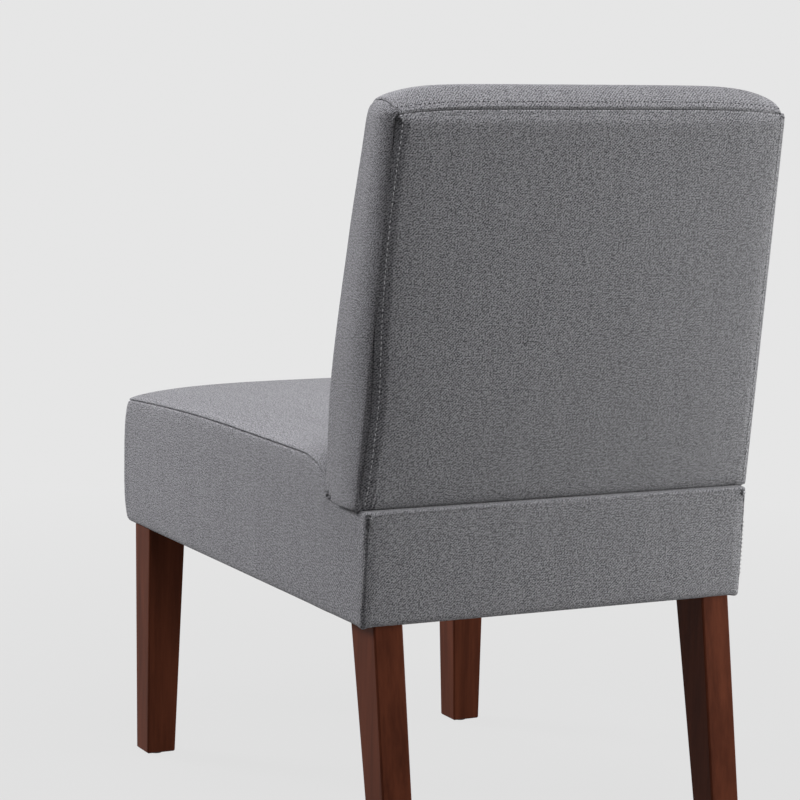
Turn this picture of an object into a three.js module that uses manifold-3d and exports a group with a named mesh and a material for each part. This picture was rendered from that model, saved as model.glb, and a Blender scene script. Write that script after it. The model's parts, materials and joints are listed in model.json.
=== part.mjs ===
// Slipper chair: an upholstered seat box on four tapered wooden legs, with a raked upholstered back.
// Millimetres, +Z up, and the sitter faces -Y. It is drawn from the rear lower edge of the seat box,
// and the finished chair is then moved so that its origin lies on the floor below its middle.

import * as THREE from "three";
import { mergeVertices } from "three/addons/utils/BufferGeometryUtils.js";
import Module from "manifold-3d";

const wasm = await Module();
wasm.setup();

// Fits, how far a cutting block passes what it cuts, and how near points are taken as one
const clearance = 0.3;
const overrun = 90;
const weldDistance = 0.001;

// Seat box, over its cover
const seatWidth = 475;
const seatDepth = 686;
const deckHeight = 123;
const seatSeamHeight = 165;
const seatSeamDrop = 12;
const seatCrown = 18;
const seatFrontRoll = 60;
const seatRearRoll = 60;
const seatFrontCorner = 14;
const seatRearCorner = 8;
const seatLowerEdge = 6.5;
const seatSideSwell = 2;
const seatFrontSwell = 8;
const seatRearLean = 5.6;
const creaseWidth = 2;

// Back, over its cover
const backSetIn = 8.2;
const backHeight = 419;
const backFootOverhang = 7.3;
const backTopOverhang = 0.4;
const backRake = 61;
const backThicknessFoot = 83;
const backThicknessLumbar = 98;
const backThicknessShoulder = 84;
const backThicknessTop = 66;
const backSideDome = 14;
const backMiddleDome = 8;
const backSeamArch = 7.5;
const backArchRun = 110;
const backFrontCorner = 14;
const backRearRoll = 7;
const backLowerEdge = 5;
const backFrontCrown = 9;
const backRearCrown = 3;
const backSideSwell = 1.5;
const grooveWidth = 8;
const grooveDepth = 4;

// Covers: fabric with its wadding, turned under as lips and stapled
const coverThickness = 2.5;
const seatLip = 28;
const backLip = 13;
const seamSetIn = 5;
const seamAllowance = 3;
const rearSeamSetIn = 5.5;
const dustCoverThickness = 1.4;

// Seat frame and its padding
const railThickness = 18;
const crossRailThickness = 22;
const frontPadThickness = 15;
const sidePadThickness = 5;
const rearPadThickness = 4;
const deckPadThickness = 6;
const springClothThickness = 1.5;
const springWire = 3.8;
const springCount = 4;
const springLoops = 7;
const springWidth = 52;
const springEdgeGap = 35;
const blockLength = 45;
const blockHeight = 40;
const blockNose = 12;

// Back frame
const stileDepth = 36;
const tongueWidth = 24;
const stileTopSetDown = 12;
const rearWaddingThickness = 4;
const tongueEndGap = 3;
const backRailHeight = 50;
const backRailThickness = 20;
const webbingWidth = 50;
const webbingThickness = 1.6;
const webbingCount = 3;

// Legs, each size in the order: across the chair, front to rear
const legLength = 288.5;
const frontLegTop = [48.2, 48.4];
const frontLegFoot = [37.4, 38.2];
const frontLegSetBack = 31.3;
const frontLegFrontTaper = 5.4;
const frontLegOuterTaper = 1.1;
const rearLegTop = [34.8, 58];
const rearLegFoot = [35.4, 38];
const rearLegSetIn = 14.6;
const rearLegRearSetIn = 2.3;
const rearLegRake = 45.3;
const legArris = 2;
const footChamfer = 1.5;

// Fasteners and glides
const legBoltRadius = 4;
const legBoltDepth = 34;
const legBoltInset = 10.4;
const frontLegBoltSetBack = 24;
const nutHeight = 6.5;
const nutAcrossFlats = 13;
const boltPastNut = 3;
const backBoltRadius = 4;
const backBoltHead = 5.3;
const backBoltSpacing = 26;
const glideHeight = 3.5;
const glideRadius = 8.5;
const glideEdge = 0.8;
const glidePinRadius = 1.5;
const glidePinLength = 12;

// Heights and lines that several pieces share
const underside = glideHeight + legLength;
const deckZ = underside + deckHeight;
const seamZ = underside + seatSeamHeight;
const coverInside = coverThickness + clearance;
const rollFootY = -backSetIn - backThicknessFoot - creaseWidth;
const rollStartY = rollFootY - seatRearRoll;
const railFootZ = underside + coverInside;
const deckPadZ = deckZ - coverInside - deckPadThickness;
const clothZ = deckPadZ - clearance - springClothThickness;
const railTopZ = clothZ - clearance;
const springRailTopZ = railTopZ - springWire - clearance;
const sideRailOuter = seatWidth / 2 - coverInside - sidePadThickness - clearance;
const sideRailInner = sideRailOuter - railThickness;
const rearRailOuterY = -coverInside - rearPadThickness - clearance;
const rearRailInnerY = rearRailOuterY - railThickness;
const frontRailOuterY = -seatDepth + coverInside + frontPadThickness + clearance;
const frontRailInnerY = frontRailOuterY + railThickness;
const backFootZ = deckZ + clearance;
const backWidthFoot = seatWidth + 2 * backFootOverhang;
const backWidthTop = seatWidth + 2 * backTopOverhang;
const backSlope = backRake / backHeight;
const stileBackSetIn = coverInside + rearWaddingThickness + clearance;
const stileFrontSetIn = stileBackSetIn + stileDepth;
const stileFootZ = backFootZ + coverInside;
const stileTopZ = backFootZ + backHeight - stileTopSetDown;
const tongueRearY = rearRailInnerY - clearance;
const tongueOuter = sideRailInner - clearance;
const stileInnerEdge = tongueOuter - tongueWidth;
const crossRailRearY = backRearY(stileFootZ) - stileFrontSetIn - clearance;
const crossRailFrontY = crossRailRearY - crossRailThickness;
const legNutZ = railFootZ + blockHeight + clearance;
const legBoltTopZ = legNutZ + nutHeight + boltPastNut;
const tongueFootZ = legBoltTopZ + tongueEndGap;

// Shares of the sizes above: where the forms have their rows, rings and turning points
const lumbarShare = 0.32;
const shoulderShare = 0.72;
const grooveHeadShare = 0.25;
const grooveFootShare = 0.125;
const domeDrawInShare = 0.25;
const cornerTurnShares = [0, 0.5, 1];
const seatRunShares = [0.03, 0.07, 0.13, 0.3, 0.52, 0.74, 0.9];
const rollShares = [0, 0.35, 0.62, 0.82, 0.95, 1];
const acrossShares = [-1, -0.96, -0.88, -0.74, -0.5, -0.2, 0.2, 0.5, 0.74, 0.88, 0.96, 1];
const wallShares = [0.84, 0.55, 0.26];
const edgeShares = [1, 0.3, 0];
const backLevelShares = [0.08, 0.2, 0.33, 0.48, 0.64, 0.8, 0.92, 1];
const domeTurnShares = [0.25, 0.5, 0.72, 0.9];
const backFrontShares = [0, 0.26, 0.5, 0.72, 0.89, 1];
const backRearShares = [1, 0.82, 0.55, 0.26, 0];
const backCornerShares = [0.35, 0.7, 1];
const backRollShares = [0.5, 1];

// How sharply a curve turns near its ends
const domePower = 3;
const swellPower = 4;
const frontCrownPower = 2.5;
const crownFadePower = 0.6;

// Sides of the round and six-sided pieces
const rodSides = 16;
const boltSides = 12;
const pinSides = 8;
const wireSides = 6;
const hexagonSides = 6;
const springLoopSteps = 8;

const sides = { left: 1, right: -1 };

const fabric = { color: 0x85868a, roughness: 0.95, metalness: 0 };
const foam = { color: 0xe8dfc2, roughness: 0.9, metalness: 0 };
const wadding = { color: 0xe9e9e6, roughness: 1, metalness: 0 };
const blackCloth = { color: 0x25262a, roughness: 0.95, metalness: 0 };
const webbingCloth = { color: 0x8b7f63, roughness: 0.9, metalness: 0 };
const frameWood = { color: 0xc9a878, roughness: 0.8, metalness: 0 };
const mahogany = { color: 0x4a2218, roughness: 0.4, metalness: 0 };
const zincSteel = { color: 0xb5b9bd, roughness: 0.35, metalness: 1 };
const springSteel = { color: 0x55585c, roughness: 0.4, metalness: 1 };
const glideNylon = { color: 0x2b2725, roughness: 0.5, metalness: 0 };

const chair = new THREE.Group();

// Small helpers

function add(name, geometry, finish) {
  const mesh = new THREE.Mesh(geometry, new THREE.MeshStandardMaterial(finish));
  mesh.name = name;
  chair.add(mesh);
  return mesh;
}

function lerp(from, to, share) {
  return from + (to - from) * share;
}

function clampShare(value) {
  return Math.min(1, Math.max(0, value));
}

// How far a padded edge has risen to its full height: steep at the seam, flat further in
function dome(share) {
  return Math.sqrt(1 - (1 - clampShare(share)) ** domePower);
}

// Solids

function bare(geometry) {
  const plain = geometry.clone();
  plain.deleteAttribute("normal");
  plain.deleteAttribute("uv");
  return mergeVertices(plain, weldDistance);
}

function solid(geometry) {
  const merged = bare(geometry);
  const mesh = new wasm.Mesh({
    numProp: 3,
    vertProperties: new Float32Array(merged.attributes.position.array),
    triVerts: new Uint32Array(merged.index.array),
  });
  return new wasm.Manifold(mesh);
}

function geometryOf(manifold) {
  const mesh = manifold.getMesh();
  const geometry = new THREE.BufferGeometry();
  geometry.setAttribute("position", new THREE.BufferAttribute(mesh.vertProperties, mesh.numProp));
  geometry.setIndex(new THREE.BufferAttribute(mesh.triVerts, 1));
  geometry.computeVertexNormals();
  return geometry;
}

function cut(geometry, ...tools) {
  return geometryOf(tools.reduce((body, tool) => body.subtract(solid(tool)), solid(geometry)));
}

// A box from its lowest corner to its highest
function block(low, high) {
  const size = high.map((value, axis) => value - low[axis]);
  const middle = high.map((value, axis) => (value + low[axis]) / 2);
  return new THREE.BoxGeometry(...size).translate(...middle);
}

function outline(points) {
  return new THREE.Shape(points.map(([u, v]) => new THREE.Vector2(u, v)));
}

// Outlines drawn from above, from the side (y, z) and from the front (x, z)
function planPrism(points, lowZ, highZ) {
  const settings = { depth: highZ - lowZ, bevelEnabled: false };
  return new THREE.ExtrudeGeometry(outline(points), settings).translate(0, 0, lowZ);
}

function sidePrism(points, lowX, highX) {
  const settings = { depth: highX - lowX, bevelEnabled: false };
  const turn = new THREE.Matrix4().makeBasis(
    new THREE.Vector3(0, 1, 0),
    new THREE.Vector3(0, 0, 1),
    new THREE.Vector3(1, 0, 0),
  );
  return new THREE.ExtrudeGeometry(outline(points), settings).applyMatrix4(turn).translate(lowX, 0, 0);
}

function frontPrism(points, lowY, highY) {
  const settings = { depth: highY - lowY, bevelEnabled: false };
  const turn = new THREE.Matrix4().makeBasis(
    new THREE.Vector3(1, 0, 0),
    new THREE.Vector3(0, 0, 1),
    new THREE.Vector3(0, -1, 0),
  );
  return new THREE.ExtrudeGeometry(outline(points), settings).applyMatrix4(turn).translate(0, highY, 0);
}

function rod(radius, lowZ, highZ, x, y, count = rodSides) {
  const height = highZ - lowZ;
  const cylinder = new THREE.CylinderGeometry(radius, radius, height, count).rotateX(Math.PI / 2);
  return cylinder.translate(x, y, lowZ + height / 2);
}

// Two ways to close the end of a ring form: from its middle, or along a ridge from side to side
function fanCap(ring, triangle) {
  const sum = ring.reduce((total, point) => total.map((value, axis) => value + point[axis]));
  const middle = sum.map((value) => value / ring.length);
  ring.forEach((point, index) => triangle(middle, point, ring[(index + 1) % ring.length]));
}

function ridgeCap(ring, triangle) {
  const across = ring.map((point) => point[0]);
  const leftEnd = across.indexOf(Math.min(...across));
  const rightEnd = across.indexOf(Math.max(...across));
  const walk = (step) => {
    const chain = [ring[leftEnd]];
    for (let index = leftEnd; index !== rightEnd; ) {
      index = (index + step + ring.length) % ring.length;
      chain.push(ring[index]);
    }
    return chain;
  };
  const front = walk(1);
  const rear = walk(-1);
  let f = 0;
  let r = 0;
  while (f < front.length - 1 || r < rear.length - 1) {
    const frontNext = f < front.length - 1 ? front[f + 1][0] : Infinity;
    const rearNext = r < rear.length - 1 ? rear[r + 1][0] : Infinity;
    const advanceFront = frontNext <= rearNext;
    const next = advanceFront ? front[f + 1] : rear[r + 1];
    const distinct = front[f] !== rear[r] && next !== front[f] && next !== rear[r];
    if (distinct) triangle(front[f], next, rear[r]);
    if (advanceFront) f += 1;
    else r += 1;
  }
}

// A closed form from rings of points, each ring running anticlockwise seen from above, lowest first
function ringForm(rings, closeFoot = fanCap, closeHead = closeFoot) {
  const positions = [];
  const triangle = (a, b, c) => positions.push(...a, ...b, ...c);
  rings.slice(1).forEach((upper, level) => {
    const lower = rings[level];
    lower.forEach((point, index) => {
      const next = (index + 1) % lower.length;
      triangle(point, lower[next], upper[next]);
      triangle(point, upper[next], upper[index]);
    });
  });
  closeFoot(rings[0], (a, b, c) => triangle(a, c, b));
  closeHead(rings[rings.length - 1], triangle);
  const geometry = new THREE.BufferGeometry();
  geometry.setAttribute("position", new THREE.Float32BufferAttribute(positions, 3));
  return mergeVertices(geometry, weldDistance);
}

// Seat form

// Height of the sewn edge along the seat: lower at the front, and down to the deck under the back
function seatEdgeZ(y) {
  const crestY = -seatDepth / 2;
  const ahead = clampShare((crestY - y) / (crestY + seatDepth));
  const roll = clampShare((y - rollStartY) / seatRearRoll);
  const upper = seamZ - seatSeamDrop * ahead ** 2;
  return lerp(deckZ, upper, Math.sqrt(1 - roll ** 2));
}

function seatRows(inset) {
  const half = seatWidth / 2 - inset;
  const front = inset - seatDepth;
  const frontRadius = seatFrontCorner - inset;
  const rearRadius = seatRearCorner - inset;
  const turns = cornerTurnShares.map((share) => (share * Math.PI) / 2);
  const frontRows = turns.map((turn) => ({
    y: front + frontRadius * (1 - Math.cos(turn)),
    half: half - frontRadius * (1 - Math.sin(turn)),
    normal: [Math.sin(turn), -Math.cos(turn)],
    lean: 0,
  }));
  const runRows = seatRunShares.map((share) => lerp(front + frontRadius, rollStartY, share));
  const rollRows = rollShares.map((share) => lerp(rollStartY, rollFootY, share));
  const middleRows = [...runRows, ...rollRows].map((y) => ({ y, half, normal: [1, 0], lean: 0 }));
  const rearRows = turns.toReversed().map((turn) => ({
    y: -inset - rearRadius * (1 - Math.cos(turn)),
    half: half - rearRadius * (1 - Math.sin(turn)),
    normal: [Math.sin(turn), Math.cos(turn)],
    lean: seatRearLean,
  }));
  return [...frontRows, ...middleRows, ...rearRows];
}

function seatTopPoint(row, share, inset) {
  const front = inset - seatDepth;
  const roll = clampShare((row.y - rollStartY) / seatRearRoll);
  const fade = dome((row.y - front) / seatFrontRoll) * Math.sqrt(1 - roll ** 2);
  const rise = seatCrown * dome(1 - Math.abs(share)) * fade;
  return [row.half * share, row.y + row.lean, seatEdgeZ(row.y) + rise - inset];
}

// The sewn edge, anticlockwise from above, with the way that each point faces
function seatRim(rows) {
  const spot = (row, share, normal) => ({ row, share, normal });
  const last = rows[rows.length - 1];
  const mirrored = (row) => [-row.normal[0], row.normal[1]];
  return [
    ...acrossShares.map((share) => spot(rows[0], share, [0, -1])),
    ...rows.slice(1).map((row) => spot(row, 1, row.normal)),
    ...acrossShares.slice(0, -1).toReversed().map((share) => spot(last, share, [0, 1])),
    ...rows.slice(1, -1).toReversed().map((row) => spot(row, -1, mirrored(row))),
  ];
}

function seatForm(inset) {
  const rows = seatRows(inset);
  const rim = seatRim(rows);
  const foot = underside + inset;
  const edge = seatLowerEdge - inset;
  const swell = (share) => 1 - share ** swellPower;
  const wallPoint = ({ row, share, normal }, z, level, setIn) => {
    const alongSide = (row.y + seatDepth / 2) / (seatDepth / 2);
    const sideways = Math.abs(normal[0]) * seatSideSwell * swell(alongSide);
    const forward = (Math.max(0, -normal[1]) * seatFrontSwell * (1 + swell(share))) / 2;
    const out = (sideways + forward) * swell(2 * level - 1) - setIn;
    return [row.half * share + normal[0] * out, row.y + row.lean * level + normal[1] * out, z];
  };
  const edgeRings = edgeShares.toReversed().map((share) => {
    const rise = edge * share;
    const setIn = edge * (1 - Math.sqrt(1 - (1 - share) ** 2));
    return rim.map((spot) => wallPoint(spot, foot + rise, rise / deckHeight, setIn));
  });
  const wallRings = wallShares.toReversed().map((share) =>
    rim.map((spot) => {
      const [, , edgeZ] = seatTopPoint(spot.row, spot.share, inset);
      return wallPoint(spot, lerp(foot, edgeZ, share), share, 0);
    }),
  );
  const seamRing = rim.map((spot) => seatTopPoint(spot.row, spot.share, inset));
  const top = (ring, triangle) => {
    rows.slice(1).forEach((rear, index) => {
      acrossShares.slice(1).forEach((share, column) => {
        const corners = [rows[index], rear].map((row) => [
          seatTopPoint(row, acrossShares[column], inset),
          seatTopPoint(row, share, inset),
        ]);
        triangle(corners[0][0], corners[0][1], corners[1][1]);
        triangle(corners[0][0], corners[1][1], corners[1][0]);
      });
    });
  };
  return ringForm([...edgeRings, ...wallRings, seamRing], fanCap, top);
}

// Back form

function backRearY(z) {
  return -backSetIn + (z - backFootZ) * backSlope;
}

function backHalfWidth(z) {
  return lerp(backWidthFoot, backWidthTop, (z - backFootZ) / backHeight) / 2;
}

const thicknessCurve = new THREE.SplineCurve([
  new THREE.Vector2(0, backThicknessFoot),
  new THREE.Vector2(lumbarShare, backThicknessLumbar),
  new THREE.Vector2(shoulderShare, backThicknessShoulder),
  new THREE.Vector2(1, backThicknessTop),
]);

function backThickness(share) {
  const curve = thicknessCurve.points;
  const span = curve.findIndex((point) => point.x >= share);
  const index = Math.max(1, span);
  const within = (share - curve[index - 1].x) / (curve[index].x - curve[index - 1].x);
  return thicknessCurve.getPoint((index - 1 + within) / (curve.length - 1)).y;
}

// The top seam and the dome above it rise away from the sides
function archShare(x, inset) {
  return dome((backWidthTop / 2 - inset - Math.abs(x)) / backArchRun);
}

function topSeamZ(x, inset = 0) {
  return backFootZ + backHeight - inset + backSeamArch * archShare(x, inset);
}

// One level of the back, anticlockwise from above: setIn draws its edge in, and squeeze, which is 1 below
// the dome and falls to 0 at its ridge, closes the front on the rear
function backRing(level, inset, setIn = 0, squeeze = 1) {
  const z = backFootZ + backHeight * level;
  const rear = backRearY(z) - inset - setIn;
  const thickness = backThickness(level) - 2 * (inset + setIn);
  const front = rear - thickness;
  const drawnIn = domeDrawInShare * backSideDome * (1 - squeeze);
  const half = backHalfWidth(z) - inset - setIn - drawnIn;
  const corner = backFrontCorner - inset;
  const roll = backRearRoll - inset;
  const grooveEdge = half - roll - grooveWidth;
  const depth = grooveDepth * dome((1 - level) / grooveHeadShare) * dome(level / grooveFootShare);
  const fade = Math.sin(Math.PI * clampShare(level)) ** crownFadePower;
  const sideY = (front + corner + rear - roll) / 2;
  const frontPoints = backFrontShares.map((share) => [
    share * (half - corner),
    front - backFrontCrown * fade * (1 - share ** frontCrownPower),
  ]);
  const cornerPoints = backCornerShares.map((share) => {
    const turn = (share * Math.PI) / 2;
    return [half - corner * (1 - Math.sin(turn)), front + corner * (1 - Math.cos(turn))];
  });
  const sidePoints = [[half + backSideSwell, sideY], [half, rear - roll]];
  const rollPoints = backRollShares.map((share) => {
    const turn = (share * Math.PI) / 2;
    return [half - roll * (1 - Math.cos(turn)), rear - roll * (1 - Math.sin(turn))];
  });
  const groovePoints = [[grooveEdge + grooveWidth / 2, rear - depth]];
  const rearPoints = backRearShares.map((share) => [
    share * grooveEdge,
    rear + backRearCrown * fade * (1 - share ** 2),
  ]);
  const aheadOfRoll = [...frontPoints, ...cornerPoints, ...sidePoints];
  const right = [...aheadOfRoll, ...rollPoints, ...groovePoints, ...rearPoints];
  const left = right.slice(1, -1).toReversed().map(([x, y]) => [-x, y]);
  const middle = (front + rear) / 2;
  return [...right, ...left].map(([x, y]) => [x, lerp(middle, y, squeeze), z]);
}

function backForm(inset) {
  const foot = backFootZ + inset;
  const edge = backLowerEdge - inset;
  const footRings = edgeShares.toReversed().map((share) => {
    const setIn = edge * (1 - Math.sqrt(1 - (1 - share) ** 2));
    return backRing((inset + edge * share) / backHeight, inset, setIn);
  });
  const fit = (ring, level) => ring.map(([x, y]) => [x, y, lerp(foot, topSeamZ(x, inset), level)]);
  const levelRings = backLevelShares.map((level) => fit(backRing(level, inset), level));
  const domeRings = domeTurnShares.map((share) => {
    const turn = (share * Math.PI) / 2;
    const ring = backRing(1, inset, 0, Math.cos(turn));
    return ring.map(([x, y]) => {
      const height = (backSideDome + backMiddleDome * archShare(x, inset)) * Math.sin(turn);
      return [x, y, topSeamZ(x, inset) + height];
    });
  });
  return ringForm([...footRings, ...levelRings, ...domeRings], ridgeCap);
}

// Legs

function legRing(x, y, width, depth, setIn, z) {
  const points = [];
  const corners = [[1, -1], [1, 1], [-1, 1], [-1, -1]];
  corners.forEach(([sideX, sideY], index) => {
    const centre = [x + sideX * (width / 2 - legArris), y + sideY * (depth / 2 - legArris)];
    for (const share of cornerTurnShares) {
      const turn = ((index - 1 + share) * Math.PI) / 2;
      const reach = legArris - setIn;
      points.push([centre[0] + reach * Math.cos(turn), centre[1] + reach * Math.sin(turn), z]);
    }
  });
  return points;
}

function makeLeg(name, side, top, foot) {
  const headZ = underside - clearance;
  const footZ = glideHeight + clearance;
  const rings = [
    legRing(side * foot.x, foot.y, ...foot.size, footChamfer, footZ),
    legRing(side * foot.x, foot.y, ...foot.size, 0, footZ + footChamfer),
    legRing(side * top.x, top.y, ...top.size, 0, headZ),
  ];
  const boltHole = rod(
    legBoltRadius + clearance, headZ - legBoltDepth, headZ + overrun, side * top.boltX, top.boltY,
  );
  const pinHole = rod(
    glidePinRadius + clearance, footZ - overrun, glideHeight + glidePinLength + clearance,
    side * foot.x, foot.y, pinSides,
  );
  add(`${name}_leg`, cut(ringForm(rings), boltHole, pinHole), mahogany);
}

function makeGlide(name, side, foot) {
  const tip = glideHeight + glidePinLength;
  const profile = [
    [0, 0], [glideRadius - glideEdge, 0], [glideRadius, glideEdge], [glideRadius, glideHeight - glideEdge],
    [glideRadius - glideEdge, glideHeight], [glidePinRadius, glideHeight],
    [glidePinRadius, tip - glidePinRadius], [0, tip],
  ];
  const lathe = new THREE.LatheGeometry(profile.map(([r, z]) => new THREE.Vector2(r, z)), rodSides);
  add(`${name}_glide`, lathe.rotateX(Math.PI / 2).translate(side * foot.x, foot.y, 0), glideNylon);
}

function makeLegFasteners(name, side, top) {
  const footZ = underside - legBoltDepth;
  add(`${name}_leg_bolt`, rod(legBoltRadius, footZ, legBoltTopZ, side * top.boltX, top.boltY), zincSteel);
  const hexagon = new THREE.CylinderGeometry(1, 1, nutHeight, hexagonSides).rotateX(Math.PI / 2);
  const corners = nutAcrossFlats / Math.sqrt(3);
  hexagon.scale(corners, corners, 1).translate(side * top.boltX, top.boltY, legNutZ + nutHeight / 2);
  const bore = rod(
    legBoltRadius + clearance, legNutZ - overrun, legNutZ + overrun, side * top.boltX, top.boltY,
  );
  add(`${name}_leg_nut`, cut(hexagon, bore), zincSteel);
}

const frontLegTopY = -seatDepth + frontLegSetBack + frontLegTop[1] / 2;
const frontLegFootY = -seatDepth + frontLegSetBack + frontLegFrontTaper + frontLegFoot[1] / 2;
const rearLegTopY = -rearLegRearSetIn - rearLegTop[1] / 2;
const rearLegFootY = -rearLegRearSetIn + rearLegRake - rearLegFoot[1] / 2;
const boltX = sideRailInner - legBoltInset;
const legs = {
  front: {
    top: {
      x: seatWidth / 2 - frontLegTop[0] / 2,
      y: frontLegTopY,
      size: frontLegTop,
      boltX,
      boltY: -seatDepth + frontLegSetBack + frontLegBoltSetBack,
    },
    foot: {
      x: seatWidth / 2 - frontLegOuterTaper - frontLegFoot[0] / 2,
      y: frontLegFootY,
      size: frontLegFoot,
    },
  },
  rear: {
    top: {
      x: seatWidth / 2 - rearLegSetIn - rearLegTop[0] / 2,
      y: rearLegTopY,
      size: rearLegTop,
      boltX,
      boltY: (tongueRearY + crossRailRearY + clearance) / 2,
    },
    foot: {
      x: seatWidth / 2 - rearLegSetIn - rearLegTop[0] / 2,
      y: rearLegFootY,
      size: rearLegFoot,
    },
  },
};

for (const [end, leg] of Object.entries(legs)) {
  for (const [sideName, side] of Object.entries(sides)) {
    const name = `${end}_${sideName}`;
    makeLeg(name, side, leg.top, leg.foot);
    makeGlide(name, side, leg.foot);
    makeLegFasteners(name, side, leg.top);
  }
}

// Corner blocks: the front ones have a cut nose, the rear ones fill the bay behind the cross rail

function makeCornerBlocks() {
  const outer = sideRailInner - clearance;
  const frontY = frontRailInnerY + clearance;
  const rearY = tongueRearY;
  const frontPlan = [
    [outer, frontY], [outer, frontY + blockLength], [outer - blockNose, frontY + blockLength],
    [outer - blockLength, frontY + blockNose], [outer - blockLength, frontY],
  ];
  const rearPlan = [
    [outer, crossRailRearY + clearance], [outer, rearY], [outer - blockLength, rearY],
    [outer - blockLength, crossRailRearY + clearance],
  ];
  for (const [end, plan] of Object.entries({ front: frontPlan, rear: rearPlan })) {
    for (const [sideName, side] of Object.entries(sides)) {
      const points = plan.map(([x, y]) => [side * x, y]);
      const body = planPrism(points, railFootZ, railFootZ + blockHeight);
      const { top } = legs[end];
      const hole = rod(
        legBoltRadius + clearance, railFootZ - overrun, railFootZ + overrun, side * top.boltX, top.boltY,
      );
      add(`${end}_${sideName}_corner_block`, cut(body, hole), frameWood);
    }
  }
}
makeCornerBlocks();

// Seat rails: the side rails run through, and the others fit between them

const tongueBoltZs = [-1, 1].map(
  (way) => (tongueFootZ + springRailTopZ) / 2 + (way * backBoltSpacing) / 2,
);
const tongueMiddle = (stileInnerEdge + tongueOuter) / 2;

// Bolts run front to rear, through the cross rail and the tongues into the rear rail
function backBoltHole(x, z) {
  const radius = backBoltRadius + clearance;
  const length = crossRailFrontY - rearRailOuterY;
  const reach = Math.abs(length) + 2 * overrun;
  const cylinder = new THREE.CylinderGeometry(radius, radius, reach, rodSides);
  return cylinder.translate(x, (crossRailFrontY + rearRailOuterY) / 2, z);
}

function makeSeatRails() {
  const frontY = frontRailOuterY;
  for (const [sideName, side] of Object.entries(sides)) {
    const points = [
      [frontY, railFootZ], [rearRailOuterY, railFootZ], [rearRailOuterY, railTopZ], [frontY, railTopZ],
    ];
    const ends = [side * sideRailInner, side * sideRailOuter].sort((a, b) => a - b);
    add(`${sideName}_seat_rail`, sidePrism(points, ...ends), frameWood);
  }
  const reach = sideRailInner - clearance;
  add(
    "front_seat_rail",
    block([-reach, frontY, railFootZ], [reach, frontRailInnerY, springRailTopZ]),
    frameWood,
  );
  const holes = Object.values(sides).flatMap((side) =>
    tongueBoltZs.map((z) => backBoltHole(side * tongueMiddle, z)),
  );
  const cross = block([-reach, crossRailFrontY, railFootZ], [reach, crossRailRearY, springRailTopZ]);
  add("seat_cross_rail", cut(cross, ...holes), frameWood);
  const rear = block([-reach, rearRailInnerY, railFootZ], [reach, rearRailOuterY, railTopZ]);
  add("rear_seat_rail", cut(rear, ...holes), frameWood);
}
makeSeatRails();

// Zigzag springs lie on the front rail and the cross rail

function makeSprings() {
  const startY = (frontRailOuterY + frontRailInnerY) / 2;
  const endY = (crossRailFrontY + crossRailRearY) / 2;
  const z = springRailTopZ + clearance + springWire / 2;
  const section = new THREE.Shape();
  section.absarc(0, 0, springWire / 2, 0, 2 * Math.PI);
  const outerX = sideRailInner - springEdgeGap - springWidth / 2;
  for (let number = 0; number < springCount; number += 1) {
    const x = lerp(-outerX, outerX, number / (springCount - 1));
    const steps = springLoops * springLoopSteps;
    const points = Array.from({ length: steps + 1 }, (_, step) => {
      const turn = (2 * Math.PI * step) / springLoopSteps;
      return new THREE.Vector3(
        x + (Math.sin(turn) * springWidth) / 2,
        lerp(startY, endY, step / steps),
        z,
      );
    });
    const route = new THREE.CatmullRomCurve3(points);
    const curveSegments = wireSides / 2;
    const settings = { extrudePath: route, steps, curveSegments, bevelEnabled: false };
    add(`seat_spring_${number + 1}`, new THREE.ExtrudeGeometry(section, settings), springSteel);
  }
}
makeSprings();

// Where the tongues pass through what lies on the frame
function tongueOpenings() {
  return Object.values(sides).map((side) => {
    const edges = [side * (stileInnerEdge - clearance), side * (tongueOuter + clearance)];
    const [lowX, highX] = edges.sort((a, b) => a - b);
    return block(
      [lowX, crossRailRearY, railTopZ - overrun],
      [highX, tongueRearY + clearance, deckZ + overrun],
    );
  });
}

// Seat padding

function makeSeatPadding() {
  const cloth = block(
    [-sideRailOuter, frontRailOuterY, clothZ],
    [sideRailOuter, rearRailOuterY, clothZ + springClothThickness],
  );
  add("spring_cloth", cut(cloth, ...tongueOpenings()), blackCloth);

  const stuffing = solid(seatForm(coverInside));
  const reach = seatWidth;
  const keep = (low, high) => stuffing.intersect(solid(block(low, high)));
  const tongues = tongueOpenings().map(solid);
  const foamEndY = rollFootY - clearance;
  const cushion = keep([-reach, -seatDepth - overrun, deckPadZ], [reach, foamEndY, seamZ + overrun]);
  add("seat_foam", geometryOf(cushion), foam);
  const deck = keep([-sideRailOuter, rollFootY, deckPadZ], [sideRailOuter, overrun, deckZ + overrun]);
  const openDeck = tongues.reduce((body, tongue) => body.subtract(tongue), deck);
  add("seat_deck_pad", geometryOf(openDeck), wadding);

  const padTopZ = clothZ - clearance;
  const frontEndY = frontRailOuterY - clearance;
  const lowZ = underside - overrun;
  const frontPad = keep([-reach, -seatDepth - overrun, lowZ], [reach, frontEndY, padTopZ]);
  add("seat_front_pad", geometryOf(frontPad), foam);
  const rearStartY = rearRailOuterY + clearance;
  const rearPad = keep([-reach, rearStartY, lowZ], [reach, overrun, padTopZ]);
  add("seat_rear_pad", geometryOf(rearPad), wadding);
  for (const [sideName, side] of Object.entries(sides)) {
    const edges = [side * (sideRailOuter + clearance), side * reach].sort((a, b) => a - b);
    const pad = keep([edges[0], frontRailOuterY, lowZ], [edges[1], rearRailOuterY, padTopZ]);
    add(`seat_${sideName}_pad`, geometryOf(pad), wadding);
  }
}
makeSeatPadding();

// Seat cover: a top panel sewn to four side panels, which turn under the rails as lips

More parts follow.
